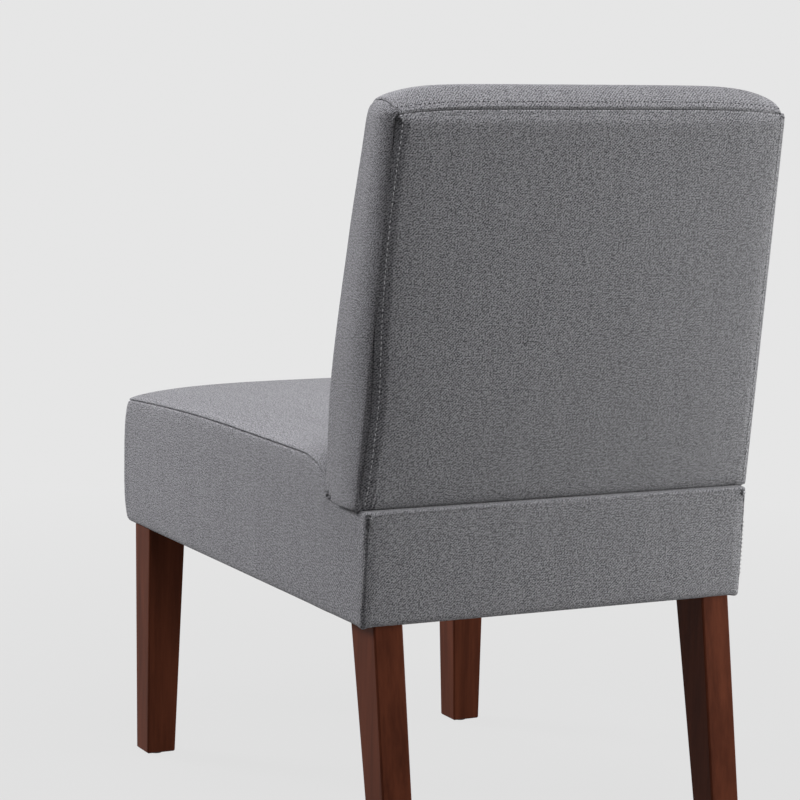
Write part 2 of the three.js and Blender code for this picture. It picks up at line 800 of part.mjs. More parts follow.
function makeSeatCover() {
  const shell = solid(seatForm(0)).subtract(solid(seatForm(coverThickness)));
  const half = seatWidth / 2;
  const mouth = block(
    [-half + seatLip, -seatDepth + seatLip, underside - overrun],
    [half - seatLip, -seatLip, underside + seatLowerEdge],
  );
  const seam = seatRows(0).map((row) => [row.y + row.lean, seatEdgeZ(row.y)]);
  const drop = seamAllowance;
  const lastY = seam[seam.length - 1][0];
  const above = (gap) => sidePrism(
    [
      [-seatDepth - overrun, seam[0][1] - drop - gap],
      ...seam.map(([y, z]) => [y, z - drop - gap]),
      [lastY + overrun, deckZ - drop - gap],
      [lastY + overrun, seamZ + overrun],
      [-seatDepth - overrun, seamZ + overrun],
    ],
    -half - overrun,
    half + overrun,
  );
  const top = shell.intersect(solid(above(0)));
  const openTop = tongueOpenings().reduce((body, tongue) => body.subtract(solid(tongue)), top);
  add("seat_top_cover", geometryOf(openTop), fabric);

  const walls = shell.subtract(solid(above(clearance))).subtract(solid(mouth));
  const frontEdge = half - seatFrontCorner;
  const rearEdge = half - rearSeamSetIn;
  const frontRegion = (gap) => solid(block(
    [-frontEdge - gap, -seatDepth - overrun, underside - overrun],
    [frontEdge + gap, -seatDepth + seatLip + gap, seamZ + overrun],
  ));
  const rearRegion = (gap) => solid(block(
    [-rearEdge - gap, -seatLip - gap, underside - overrun],
    [rearEdge + gap, overrun, seamZ + overrun],
  ));
  add("seat_front_cover", geometryOf(walls.intersect(frontRegion(0))), fabric);
  add("seat_rear_cover", geometryOf(walls.intersect(rearRegion(0))), fabric);
  for (const [sideName, side] of Object.entries(sides)) {
    const edges = [0, side * (half + overrun)].sort((a, b) => a - b);
    const halfSpace = block(
      [edges[0], -seatDepth - overrun, underside - overrun],
      [edges[1], overrun, seamZ + overrun],
    );
    const panel = walls.intersect(solid(halfSpace));
    const open = panel.subtract(frontRegion(clearance)).subtract(rearRegion(clearance));
    add(`seat_${sideName}_cover`, geometryOf(open), fabric);
  }

  const dustTopZ = underside + coverThickness;
  const dust = block(
    [-half + seatLip + clearance, -seatDepth + seatLip + clearance, dustTopZ - dustCoverThickness],
    [half - seatLip - clearance, -seatLip - clearance, dustTopZ],
  );
  const boltHoles = Object.values(legs).flatMap(({ top: { boltX: x, boltY: y } }) =>
    Object.values(sides).map((side) =>
      rod(legBoltRadius + clearance, underside - overrun, underside + overrun, side * x, y),
    ),
  );
  add("dust_cover", cut(dust, ...boltHoles), blackCloth);
}
makeSeatCover();

// Back frame

// A slab that follows the raked rear face, between two distances in front of it
function rakedSlab(nearSetIn, farSetIn, lowZ, highZ, lowX, highX) {
  const points = [
    [backRearY(lowZ) - farSetIn, lowZ], [backRearY(lowZ) - nearSetIn, lowZ],
    [backRearY(highZ) - nearSetIn, highZ], [backRearY(highZ) - farSetIn, highZ],
  ];
  return sidePrism(points, lowX, highX);
}

function makeStiles() {
  const frontFootY = backRearY(stileFootZ) - stileFrontSetIn;
  const rearFootY = backRearY(stileFootZ) - stileBackSetIn;
  const profile = [
    [frontFootY, tongueFootZ], [tongueRearY, tongueFootZ], [tongueRearY, stileFootZ],
    [rearFootY, stileFootZ],
    [backRearY(stileTopZ) - stileBackSetIn, stileTopZ],
    [backRearY(stileTopZ) - stileFrontSetIn, stileTopZ],
  ];
  // The arrises are eased to the inside of the cover
  const space = solid(backForm(coverInside));
  const far = seatDepth;
  for (const [sideName, side] of Object.entries(sides)) {
    const face = [
      [stileInnerEdge, tongueFootZ], [tongueOuter, tongueFootZ], [tongueOuter, stileFootZ],
      [backHalfWidth(stileFootZ) - coverInside, stileFootZ],
      [backHalfWidth(stileTopZ) - coverInside, stileTopZ], [stileInnerEdge, stileTopZ],
    ].map(([x, z]) => [side * x, z]);
    const plank = solid(sidePrism(profile, -seatWidth, seatWidth));
    const sawn = plank.intersect(solid(frontPrism(face, -seatDepth, seatDepth)));
    const belowDeck = solid(block([-far, -far, 0], [far, far, stileFootZ]));
    const eased = sawn.intersect(belowDeck).add(sawn.subtract(belowDeck).intersect(space));
    const holes = tongueBoltZs.map((z) => solid(backBoltHole(side * tongueMiddle, z)));
    const body = holes.reduce((wood, hole) => wood.subtract(hole), eased);
    add(`back_${sideName}_stile`, geometryOf(body), frameWood);
  }
}
makeStiles();

function makeBackRails() {
  const reach = stileInnerEdge - clearance;
  const near = stileBackSetIn;
  const far = near + backRailThickness;
  const middleZ = (stileFootZ + stileTopZ) / 2;
  const feet = {
    back_lower_rail: stileFootZ,
    back_middle_rail: middleZ - backRailHeight / 2,
    back_top_rail: stileTopZ - backRailHeight,
  };
  for (const [name, footZ] of Object.entries(feet)) {
    add(name, rakedSlab(near, far, footZ, footZ + backRailHeight, -reach, reach), frameWood);
  }
  const webbingReach = (stileInnerEdge + backWidthTop / 2) / 2;
  for (let number = 0; number < webbingCount; number += 1) {
    const share = (number + 1) / (webbingCount + 1);
    const footZ = lerp(stileFootZ, stileTopZ, share) - webbingWidth / 2;
    const front = stileFrontSetIn + clearance;
    const strap = rakedSlab(
      front, front + webbingThickness, footZ, footZ + webbingWidth, -webbingReach, webbingReach,
    );
    add(`back_webbing_${number + 1}`, strap, webbingCloth);
  }
}
makeBackRails();

// Bolts that hold the back: head in front of the cross rail, end in the rear rail
function makeBackBolts() {
  const headY = crossRailFrontY - clearance;
  const endY = rearRailOuterY - clearance;
  for (const [sideName, side] of Object.entries(sides)) {
    tongueBoltZs.forEach((z, index) => {
      const shank = new THREE.CylinderGeometry(backBoltRadius, backBoltRadius, endY - headY, boltSides);
      shank.translate(0, (headY + endY) / 2, 0);
      const head = new THREE.CylinderGeometry(1, 1, backBoltHead, hexagonSides);
      const corners = nutAcrossFlats / Math.sqrt(3);
      head.scale(corners, 1, corners).translate(0, headY - backBoltHead / 2, 0);
      const body = geometryOf(solid(shank).add(solid(head)));
      const place = index === 0 ? "lower" : "upper";
      add(`back_${sideName}_${place}_bolt`, body.translate(side * tongueMiddle, 0, z), zincSteel);
    });
  }
}
makeBackBolts();

// Back padding: foam in front of the frame and over its top, and a thin sheet behind it

function makeBackPadding() {
  const stuffing = solid(backForm(coverInside));
  const wide = seatWidth;
  const footZ = backFootZ;
  const topZ = stileTopZ + clearance;
  const frontSetIn = stileFrontSetIn + clearance + webbingThickness + clearance;
  const frameSpace = solid(
    rakedSlab(-overrun, frontSetIn, footZ - overrun, topZ, -wide, wide),
  );
  add("back_foam", geometryOf(stuffing.subtract(frameSpace)), foam);
  const sheetSpace = solid(
    rakedSlab(-overrun, stileBackSetIn - clearance, stileFootZ, stileTopZ, -wide, wide),
  );
  add("back_rear_wadding", geometryOf(stuffing.intersect(sheetSpace)), wadding);
}
makeBackPadding();

// Back cover: a front panel that runs over the top, two side panels and a rear panel set in a groove

function makeBackCover() {
  const shell = solid(backForm(0)).subtract(solid(backForm(coverThickness)));
  const rearY = backRearY(backFootZ);
  const half = backWidthFoot / 2;
  const mouth = block(
    [-half + backLip, rearY - backThicknessFoot + backLip, backFootZ - overrun],
    [half - backLip, rearY - backLip, backFootZ + backLowerEdge],
  );
  const skin = shell.subtract(solid(mouth));
  const lowZ = backFootZ - overrun;
  const highZ = backFootZ + backHeight + overrun;
  const far = half + overrun;
  const cornerZ = backFootZ + backHeight;
  const grooveSetIn = backRearRoll + grooveWidth / 2;
  const rearPlaneSetIn = backRearRoll + grooveDepth + coverThickness;

  const sideStrip = (side, setIn, topZ) => frontPrism(
    [
      [side * (backHalfWidth(lowZ) - setIn), lowZ], [side * far, lowZ],
      [side * far, topZ], [side * (backHalfWidth(topZ) - setIn), topZ],
    ],
    -seatDepth,
    seatDepth,
  );
  const rearSlab = (grow) => solid(
    rakedSlab(-overrun, rearPlaneSetIn + grow, lowZ, highZ, -far, far),
  );
  const sideRegion = (side, grow) => {
    const face = solid(sideStrip(side, seamSetIn + grow, highZ));
    const roll = solid(sideStrip(side, grooveSetIn + grow, cornerZ)).intersect(rearSlab(grow));
    return face.add(roll);
  };
  const seamShares = [...backRearShares, ...backRearShares.slice(0, -1).toReversed().map((share) => -share)];
  const rearRegion = (grow) => {
    const arch = seamShares.map((share) => {
      const x = (backWidthTop / 2) * share;
      return [x, topSeamZ(x) + grow];
    });
    const face = solid(frontPrism([[far, lowZ], ...arch, [-far, lowZ]], -seatDepth, seatDepth));
    return face.intersect(rearSlab(grow));
  };
  let rest = skin;
  for (const [sideName, side] of Object.entries(sides)) {
    add(`back_${sideName}_cover`, geometryOf(skin.intersect(sideRegion(side, 0))), fabric);
    rest = rest.subtract(sideRegion(side, clearance));
  }
  add("back_rear_cover", geometryOf(rest.intersect(rearRegion(0))), fabric);
  add("back_front_cover", geometryOf(rest.subtract(rearRegion(clearance))), fabric);
}
makeBackCover();

// The origin goes to the floor below the middle of the finished chair
const reachBox = new THREE.Box3().setFromObject(chair);
const centre = reachBox.getCenter(new THREE.Vector3());
chair.position.set(-centre.x, -centre.y, -reachBox.min.z);

export default chair;
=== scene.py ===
# %% [markdown]
# # A slipper chair, dressed in its cover
# A slipper chair is a low chair without arms. Its wooden frame is padded with foam and wadding, and a sewn
# cover is pulled over the padding and stapled under the rails. The frame, the legs and the hardware come
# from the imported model. This script makes the cover panel by panel, sews it, and gives every part its finish.

# %% Load the frame
import json
import math

import bpy
import numpy as np
from mathutils import Matrix, Vector


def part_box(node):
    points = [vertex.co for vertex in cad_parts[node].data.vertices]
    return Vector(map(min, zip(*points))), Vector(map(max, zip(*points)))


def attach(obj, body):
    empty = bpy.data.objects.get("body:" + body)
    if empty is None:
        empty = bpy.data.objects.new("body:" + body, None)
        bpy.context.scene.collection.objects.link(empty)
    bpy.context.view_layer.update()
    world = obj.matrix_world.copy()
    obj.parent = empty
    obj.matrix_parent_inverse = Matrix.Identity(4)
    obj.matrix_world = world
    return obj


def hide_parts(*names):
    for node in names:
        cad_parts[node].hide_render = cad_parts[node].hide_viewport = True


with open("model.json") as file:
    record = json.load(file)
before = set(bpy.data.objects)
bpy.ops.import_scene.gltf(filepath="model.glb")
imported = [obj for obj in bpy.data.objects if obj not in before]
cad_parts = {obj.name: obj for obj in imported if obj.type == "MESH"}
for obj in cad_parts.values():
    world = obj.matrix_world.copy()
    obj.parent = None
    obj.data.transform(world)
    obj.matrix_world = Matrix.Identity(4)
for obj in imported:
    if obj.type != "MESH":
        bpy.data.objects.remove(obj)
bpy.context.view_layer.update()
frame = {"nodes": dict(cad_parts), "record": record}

# %% [markdown]
# ## Camera and light
# The photograph was taken from behind the chair and a little above the seat, with a long lens. A camera
# could be placed by eye. Here it was fitted to the straight edges of the chair first, so its place, turn
# and lens are known numbers, and only a small shift of the lens is left for the framing.

# %% Camera
CAMERA_SPOT = (1.5271, 2.9583, 0.9460)
CAMERA_AZIMUTH, CAMERA_PITCH, CAMERA_ROLL = 152.3607, -8.8533, 1.2294
FOCAL_PIXELS, CENTRE_U, CENTRE_V, PICTURE = 2842.9, 443.17, 445.82, 800


def new_object(name, data):
    made = bpy.data.objects.new(name, data)
    bpy.context.scene.collection.objects.link(made)
    return made


def aim_camera():
    azimuth, pitch, roll = map(math.radians, (CAMERA_AZIMUTH, CAMERA_PITCH, CAMERA_ROLL))
    ahead = Vector((-math.sin(azimuth), math.cos(azimuth), 0))
    right = Vector((math.cos(azimuth), math.sin(azimuth), 0))
    up = Vector((0, 0, 1))
    look = ahead * math.cos(pitch) + up * math.sin(pitch)
    lifted = -ahead * math.sin(pitch) + up * math.cos(pitch)
    side = right * math.cos(roll) + lifted * math.sin(roll)
    top = -right * math.sin(roll) + lifted * math.cos(roll)
    data = bpy.data.cameras.new("camera")
    data.sensor_fit, data.sensor_width = "HORIZONTAL", 36
    data.lens = FOCAL_PIXELS / PICTURE * data.sensor_width
    data.shift_x = (PICTURE / 2 - CENTRE_U) / PICTURE
    data.shift_y = (CENTRE_V - PICTURE / 2) / PICTURE
    camera = new_object("camera", data)
    turn = Matrix((side, top, -look)).transposed().to_4x4()
    camera.matrix_world = Matrix.Translation(CAMERA_SPOT) @ turn
    bpy.context.scene.camera = camera
    return data


lens = aim_camera()
print("lens", round(lens.lens, 1), "mm, shift", round(lens.shift_x, 3), round(lens.shift_y, 3))

# %% [markdown]
# The light in the photograph is soft: the seat and the top of the back are brightest, then the side, then
# the rear. One could use a single sky. A main lamp at the left, a wide one above and a weak one at the
# right give the same steps and stay easy to tune.

# %% Lamps, sky and floor
BACKGROUND, SKY_LIGHT = 0.79, 0.05
FLOOR_GREY, FLOOR_SIZE = 0.25, 4000
# Near the chair a little of the floor's shadow shows. Far off only the page does (distances in metres).
FLOOR_NEAR, FLOOR_FAR, NEAR_PAGE = 0.6, 2.2, 0.92
COOL, PLAIN = (0.975, 0.965, 1.0), (1, 1, 1)
# Name, place, aimed at, width in metres, watts and colour
LAMPS = [("lamp_left", (2.6, -3.1, 2.3), (0, 0.1, 0.6), 1.6, 182, COOL),
         ("lamp_above", (0.2, 0.8, 3.0), (0, 0.1, 0.5), 1.4, 54, COOL),
         ("lamp_right", (-1.55, 0.95, 0.6), (-0.2, 0.3, 0.5), 0.7, 25, PLAIN)]


def make_lamp(name, place, target, size, watts, colour):
    data = bpy.data.lights.new(name, "AREA")
    data.shape, data.size, data.energy, data.color = "DISK", size, watts, colour
    lamp = new_object(name, data)
    lamp.location = place
    lamp.rotation_euler = (Vector(target) - Vector(place)).to_track_quat("-Z", "Y").to_euler()


def new_tree(name):
    material = bpy.data.materials.new(name)
    material.use_nodes = True
    material.node_tree.nodes.clear()
    return material, material.node_tree


def add_node(tree, kind, inputs=None, **settings):
    """A new node. Each input is a number or colour to set, or a socket to link."""
    made = tree.nodes.new(kind)
    for key, value in settings.items():
        setattr(made, key, value)
    for key, value in (inputs or {}).items():
        if isinstance(value, bpy.types.NodeSocket):
            tree.links.new(value, made.inputs[key])
        else:
            made.inputs[key].default_value = value
    return made


def first_of(tree, kind, inputs=None, **settings):
    """The first output of a new node."""
    return add_node(tree, kind, inputs, **settings).outputs[0]


def math_node(tree, operation, first, second=0.0, third=0.0, clamp=False):
    return first_of(tree, "ShaderNodeMath", {0: first, 1: second, 2: third}, operation=operation, use_clamp=clamp)


def own_place(tree):
    return add_node(tree, "ShaderNodeTexCoord").outputs["Object"]


def page_rays(tree):
    """One for the rays that see the page: those of the camera, of a gloss and through glass."""
    path = add_node(tree, "ShaderNodeLightPath").outputs
    shiny = math_node(tree, "MAXIMUM", path["Is Glossy Ray"], path["Is Transmission Ray"])
    return math_node(tree, "MAXIMUM", path["Is Camera Ray"], shiny)


def make_sky():
    world = bpy.data.worlds.new("sky")
    bpy.context.scene.world = world
    world.use_nodes = True
    tree = world.node_tree
    tree.nodes.clear()
    light, page = (first_of(tree, "ShaderNodeBackground", {"Color": (1, 1, 1, 1), "Strength": strength})
                   for strength in (SKY_LIGHT, BACKGROUND))
    mixed = first_of(tree, "ShaderNodeMixShader", {0: page_rays(tree), 1: light, 2: page})
    add_node(tree, "ShaderNodeOutputWorld", {"Surface": mixed})


def make_floor():
    bpy.ops.mesh.primitive_plane_add(size=FLOOR_SIZE, location=(0, 0, 0))
    floor = bpy.context.object
    floor.name = "floor"
    material, tree = new_tree("pale_floor")
    paint = first_of(tree, "ShaderNodeBsdfDiffuse", {"Color": (FLOOR_GREY, FLOOR_GREY, FLOOR_GREY, 1)})
    page = first_of(tree, "ShaderNodeEmission", {"Color": (1, 1, 1, 1), "Strength": BACKGROUND})
    far = add_node(tree, "ShaderNodeVectorMath", {0: own_place(tree)}, operation="LENGTH").outputs["Value"]
    even = first_of(tree, "ShaderNodeMapRange", {
        "Value": far, "From Min": FLOOR_NEAR, "From Max": FLOOR_FAR, "To Min": NEAR_PAGE, "To Max": 1.0})
    share = math_node(tree, "MULTIPLY", page_rays(tree), even)
    mixed = first_of(tree, "ShaderNodeMixShader", {0: share, 1: paint, 2: page})
    add_node(tree, "ShaderNodeOutputMaterial", {"Surface": mixed})
    floor.data.materials.append(material)


for lamp in LAMPS:
    make_lamp(*lamp)
make_sky()
make_floor()
bpy.context.scene.view_settings.view_transform = "Standard"
print(len(LAMPS), "lamps, a pale floor and a sky")

# %% [markdown]
# ## The shape under the cover
# The padding gives the cover its shape: a boxed seat with a crown, and a raked back with a soft edge. It
# could be sculpted. Here it follows the same rules as the solids of the frame, as small functions in
# millimetres, so that each panel can be laid on it with as many rows as its folds need.

# %% Sizes of the padded shape
# Heights of the underside, of the deck under the back and of the seam round the seat
UNDERSIDE, DECK_Z, SEAM_Z = 292.0, 416.3, 457.0
SEAT_HALF, SEAT_DEPTH = 238.3, 686.0
SEAT_CROWN, FRONT_DROP, FRONT_ROLL = 18.0, 12.0, 45.0
# Where the seat starts to roll down to the deck, how long that takes, and how round it is
REAR_ROLL_START, REAR_ROLL, REAR_ROLL_POWER = -160.0, 75.0, 1.9
FRONT_CORNER, REAR_CORNER, LOWER_EDGE, LIP = 10.0, 5.0, 5.5, 29.0
# How far the lower edge hangs below the rails, and how much more at the rear corners
EDGE_DROP, FLAP_DROP, FLAP_WIDTH = 1.5, 3.0, 9.0
LEAN_START_Y, REAR_LEAN = -93.2, 5.6
BACK_FOOT, BACK_HEIGHT, BACK_SET_IN, PANEL_FOOT = 415.3, 419.0, 8.2, 414.8
BACK_SLOPE = 61.0 / BACK_HEIGHT
BACK_FOOT_HALF, BACK_TOP_HALF = 245.6, 238.7
BACK_CORNER, BACK_DOME = 14.0, 14.0
# Thickness of the back at some shares of its height
THICKNESS_AT = np.array([-0.3, 0, 0.32, 0.72, 1, 1.3])
THICKNESS = np.array([83, 83, 96.5, 85, 71, 71])
# The rounded lower front corner of the back: its rise, where it starts and its length
CORNER_RISE, CORNER_START, CORNER_LENGTH = 17.0, -54.0, 37.0
# The seam over the top: its height in the middle, its drop at the ends, and where they are
TOP_SEAM_Z, TOP_SEAM_DROP, TOP_SEAM_HALF = 841.0, 6.5, 233.0
rear_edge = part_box("rear_seat_rail")[1][1] * 1000 + 7.1


def dome(share):
    return np.sqrt(np.maximum(0, 1 - (1 - np.clip(share, 0, 1)) ** 3))


def lerp(low, high, share):
    return low + (high - low) * share


def ease(value, low, high):
    """Goes softly from 0 at low to 1 at high."""
    share = np.clip((value - low) / (high - low), 0, 1)
    return share * share * (3 - 2 * share)


def quarter(share):
    """Goes from 0 to 1 like a quarter of a circle, flat at first and upright at the end."""
    return 1 - np.sqrt(1 - share ** 2)


def smooth(at, knots, values):
    """A smooth curve through a few points."""
    knots, values = np.asarray(knots, float), np.asarray(values, float)
    slopes = np.gradient(values, knots)
    span = np.clip(np.searchsorted(knots, at) - 1, 0, len(knots) - 2)
    size = knots[span + 1] - knots[span]
    t = np.clip((at - knots[span]) / size, 0, 1)
    return ((2 * t ** 3 - 3 * t ** 2 + 1) * values[span] + (t ** 3 - 2 * t ** 2 + t) * size * slopes[span]
            + (3 * t ** 2 - 2 * t ** 3) * values[span + 1] + (t ** 3 - t ** 2) * size * slopes[span + 1])


def path_run(points):
    """How far each point of a path is from its start."""
    return np.concatenate([[0], np.cumsum(np.linalg.norm(np.diff(points, axis=0), axis=1))])


def mirrored(points, sign):
    """Points of the left side, moved to the right side where sign is negative."""
    return np.stack([points[..., 0] * sign, points[..., 1], points[..., 2]], -1)


def rear_roll(y):
    """One on the seat, falling to zero where the seat rolls down to the deck in front of the back."""
    return np.sqrt(1 - np.clip((y - REAR_ROLL_START) / REAR_ROLL, 0, 1) ** REAR_ROLL_POWER)


def corner_rise(y):
    """The lower front corner of the back is rounded, and the side of the seat rises to meet it."""
    return CORNER_RISE * quarter(np.clip((CORNER_START - y) / CORNER_LENGTH, 0, 1))


def seat_edge_z(y):
    crest = -SEAT_DEPTH / 2
    ahead = np.clip((crest - y) / (crest + SEAT_DEPTH), 0, 1)
    return np.maximum(lerp(DECK_Z, SEAM_Z - FRONT_DROP * ahead ** 2, rear_roll(y)), DECK_Z + corner_rise(y))


def rear_lean(y):
    return REAR_LEAN * np.clip((y - LEAN_START_Y) / (-REAR_CORNER - LEAN_START_Y), 0, 1)


def back_rear_y(z):
    return -BACK_SET_IN + (z - BACK_FOOT) * BACK_SLOPE


def back_half(z):
    return lerp(BACK_FOOT_HALF, BACK_TOP_HALF, (z - BACK_FOOT) / BACK_HEIGHT)


def back_thickness(level):
    """A smooth curve through the thicknesses, by the share of the height."""
    span = np.clip(np.searchsorted(THICKNESS_AT, level) - 1, 1, 3)
    t = (level - THICKNESS_AT[span]) / (THICKNESS_AT[span + 1] - THICKNESS_AT[span])
    a, b, c, d = (THICKNESS[span + step] for step in (-1, 0, 1, 2))
    return 0.5 * (2 * b + (c - a) * t + (2 * a - 5 * b + 4 * c - d) * t ** 2 + (3 * b - a - 3 * c + d) * t ** 3)


def top_seam_z(x):
    return TOP_SEAM_Z - TOP_SEAM_DROP * (np.abs(x) / TOP_SEAM_HALF) ** 6


print("rear edge of the seat box at y =", round(rear_edge, 1), "mm")

# %% [markdown]
# ## Cutting and sewing a panel
# Each panel of the cover is one piece of cloth between seams. Panels could be painted on one closed body.
# Separate ones are closer to the real thing: the weave runs straight in each, and at a seam both edges turn
# inward, which draws the thin dark line. The helper lays rows over a surface, close together at the sewn
# edges, turns the edges in, puckers them a little, and gives the cloth its thickness.

# %% Panel helper
CLOTH, TUCK = 1.2, 5.0
FREE, SEWN, FOLDED = 0, 1, 2
END_ROWS = {FREE: np.array([0.0]), SEWN: np.array([0.55, 0.75, 1.0, 1.4, 1.9, 2.7, 3.8, 5.4, 7.5, 10.0, 13.0]),
            FOLDED: np.arange(0.0, 29.0, 1.0)}
SAMPLES = 260
# At a seam: half the gap, the radius of the edge, and the reach and size of its unevenness
SEAM_GAP, SEAM_RADIUS, SEAM_REACH, PUCKER = 0.55, 1.5, 14, 0.4
PUCKER_WAVE = 9.0
# Where the grid is squeezed below this share its direction is weak, and is filled in from around it
WEAK_SHARE, FILL_ROUNDS = 0.35, 14
# The direction of an edge is taken over this many rows
EDGE_ROWS = 6


def distances(grid):
    """Distance of each point from the two ends of its column."""
    pieces = np.linalg.norm(np.diff(grid, axis=0), axis=-1)
    run = np.concatenate([np.zeros((1, grid.shape[1])), np.cumsum(pieces, 0)])
    return run, run[-1] - run


def row_spots(length, step, ends):
    """Distances along a line: close together at a sewn or folded end, then even."""
    start, end = END_ROWS[ends[0]], length - END_ROWS[ends[1]][::-1]
    count = max(2, int(round((end[0] - start[-1]) / step)))
    return np.concatenate([start, np.linspace(start[-1], end[0], count + 1)[1:-1], end])


def lay_rows(grid, step, ends):
    """Spreads the points of each column (axis 0) at the same distances from its ends."""
    run, _ = distances(grid)
    longest = run[-1].max()
    spots = row_spots(longest, step, ends)
    near = min(max(END_ROWS[end][-1] for end in ends), longest / 3)
    laid = np.empty((len(spots), grid.shape[1], 3))
    for column in range(grid.shape[1]):
        total = run[-1, column]
        keep = min(near, total / 3)
        at = np.interp(spots, [0, near, longest - near, longest], [0, keep, total - keep, total])
        for axis in range(3):
            laid[:, column, axis] = np.interp(at, run[:, column], grid[:, column, axis])
    return laid


def sizes(vectors):
    return np.linalg.norm(vectors, axis=-1, keepdims=True)


def unit(vectors):
    return vectors / np.maximum(sizes(vectors), 1e-9)


def facing(grid):
    """Which way the cloth faces. Where two edges run into each other it takes what lies beside it."""
    across, along = np.gradient(grid, axis=1), np.gradient(grid, axis=0)
    normal = np.cross(across, along)
    weak = sizes(normal) < WEAK_SHARE * (sizes(across) * sizes(along))
    normal = np.where(weak, 0, unit(normal))
    for _ in range(FILL_ROUNDS):
        padded = np.pad(normal, ((1, 1), (1, 1), (0, 0)), mode="edge")
        around = padded[:-2, 1:-1] + padded[2:, 1:-1] + padded[1:-1, :-2] + padded[1:-1, 2:]
        normal = np.where(weak, unit(around), normal)
    return normal


def seam_profile(gap, dip):
    """How far the cloth lies below the padding, by its distance from the seam."""
    near = np.clip((gap - SEAM_GAP) / SEAM_RADIUS, 0, 1)
    return SEAM_RADIUS * quarter(1 - near) + dip * np.exp(-((gap / (4 + 2.5 * dip)) ** 2))


def pucker(along, seed):
    """A gentle unevenness along a seam, from three waves whose sizes add up to 2.3."""
    rng = np.random.default_rng(seed)
    waves = [(PUCKER_WAVE, 0.5), (PUCKER_WAVE * 1.9, 0.8), (PUCKER_WAVE * 4.3, 1.0)]
    return sum(size * np.sin(2 * np.pi * along / (period * rng.uniform(0.9, 1.1)) + rng.uniform(0, 6.3))
               for period, size in waves) / 2.3


def lower_seams(edges, sewn, seed, pull, dips):
    """How far the seams pull the cloth in. Where two of them meet, the deeper one counts most."""
    cubes = 0
    for number, (gap, along) in enumerate(edges):
        if sewn[number]:
            uneven = 1 + PUCKER * pull * pucker(along, seed * 7 + number + 1)
            dip = dips[number](along) if callable(dips[number]) else dips[number]
            cubes = cubes + (seam_profile(gap, dip) * np.where(gap < SEAM_REACH, uneven, 1)) ** 3
    return np.cbrt(cubes)


def lower_gathers(lowered, run_u, run_v, gathers):
    for at_u, at_v, length, width, angle, depth in gathers:
        du, dv, turn = run_u - at_u, run_v - at_v, math.radians(angle)
        along = (du * math.cos(turn) + dv * math.sin(turn)) / length
        aside = (dv * math.cos(turn) - du * math.sin(turn)) / width
        lowered = lowered + depth * np.exp(-(along ** 2)) * (1 - 2 * aside ** 2) * np.exp(-(aside ** 2))
    return lowered


def make_panel(name, surface, ends, steps, seed, pull=1.0, flip=False, grain=("middle", "start"), gathers=(),
               corners=(0, 0, 0, 0), dips=(0.5, 0.5, 0.5, 0.5), steady=0):
    """surface(u, v) gives points in millimetres. ends says how the cloth ends at v low, v high, u low and
    u high. steps is the size of the grid, pull scales the puckers, and grain says where the cloth's own
    coordinates start. gathers holds small folds: u run, v run, length, width, angle and depth. corners says
    where the next panel stands at right angles (1) or goes straight on (0). dips is how far each seam pulls
    the cloth in. steady is the number of points at a rounded corner whose allowance turns in evenly."""
    u, v = np.meshgrid(np.linspace(0, 1, SAMPLES), np.linspace(0, 1, SAMPLES))
    grid = lay_rows(surface(u, v), steps[1], ends[:2])
    grid = lay_rows(grid.transpose(1, 0, 2), steps[0], ends[2:]).transpose(1, 0, 2)
    sewn = [end == SEWN for end in ends]
    run_v, left_v = distances(grid)
    run_u, left_u = (part.T for part in distances(grid.transpose(1, 0, 2)))
    normal = facing(grid) * (-1 if flip else 1)
    edges = ((run_v, run_u), (left_v, run_u), (run_u, run_v), (left_u, run_v))
    lowered = lower_gathers(lower_seams(edges, sewn, seed, pull, dips), run_u, run_v, gathers)
    outer = grid - normal * lowered[..., None]
    cloth_u = run_u - (run_u[:, -1:] / 2 if grain[0] == "middle" else 0)
    cloth_v = left_v if grain[1] == "end" else run_v
    marks = np.stack([cloth_u, cloth_v], -1)
    for number, (axis, at_end) in enumerate(((0, False), (0, True), (1, False), (1, True))):
        if sewn[number]:
            outer, normal, marks = add_tuck(outer, normal, marks, axis, at_end, corners[number], steady)
    return cloth_mesh(name, outer, marks, flip)


def add_tuck(points, normal, marks, axis, at_end, corner, steady):
    """Adds the seam allowance: one more row that turns inward at an end of the cloth."""
    points, normal, marks = (np.moveaxis(part, axis, 0) for part in (points, normal, marks))
    last, inside = (-1, -1 - EDGE_ROWS) if at_end else (0, EDGE_ROWS)
    edge, way = points[last], normal[inside]
    ahead = edge - points[inside]
    ahead = unit(ahead - way * np.sum(ahead * way, -1, keepdims=True))
    bend = corner(np.linspace(0, 1, len(edge)))[:, None] if callable(corner) else corner
    inward = unit(way + ahead * bend)
    if steady:
        inward[:steady], inward[-steady:] = inward[steady], inward[-steady - 1]
    row, sign = edge - inward * TUCK, 1 if at_end else -1
    mark = marks[last] + sign * TUCK * np.array([axis == 1, axis == 0])
    parts = [(points, row), (normal, normal[last]), (marks, mark)]
    joined = [np.concatenate([body, end[None]] if at_end else [end[None], body]) for body, end in parts]
    return [np.moveaxis(part, 0, axis) for part in joined]


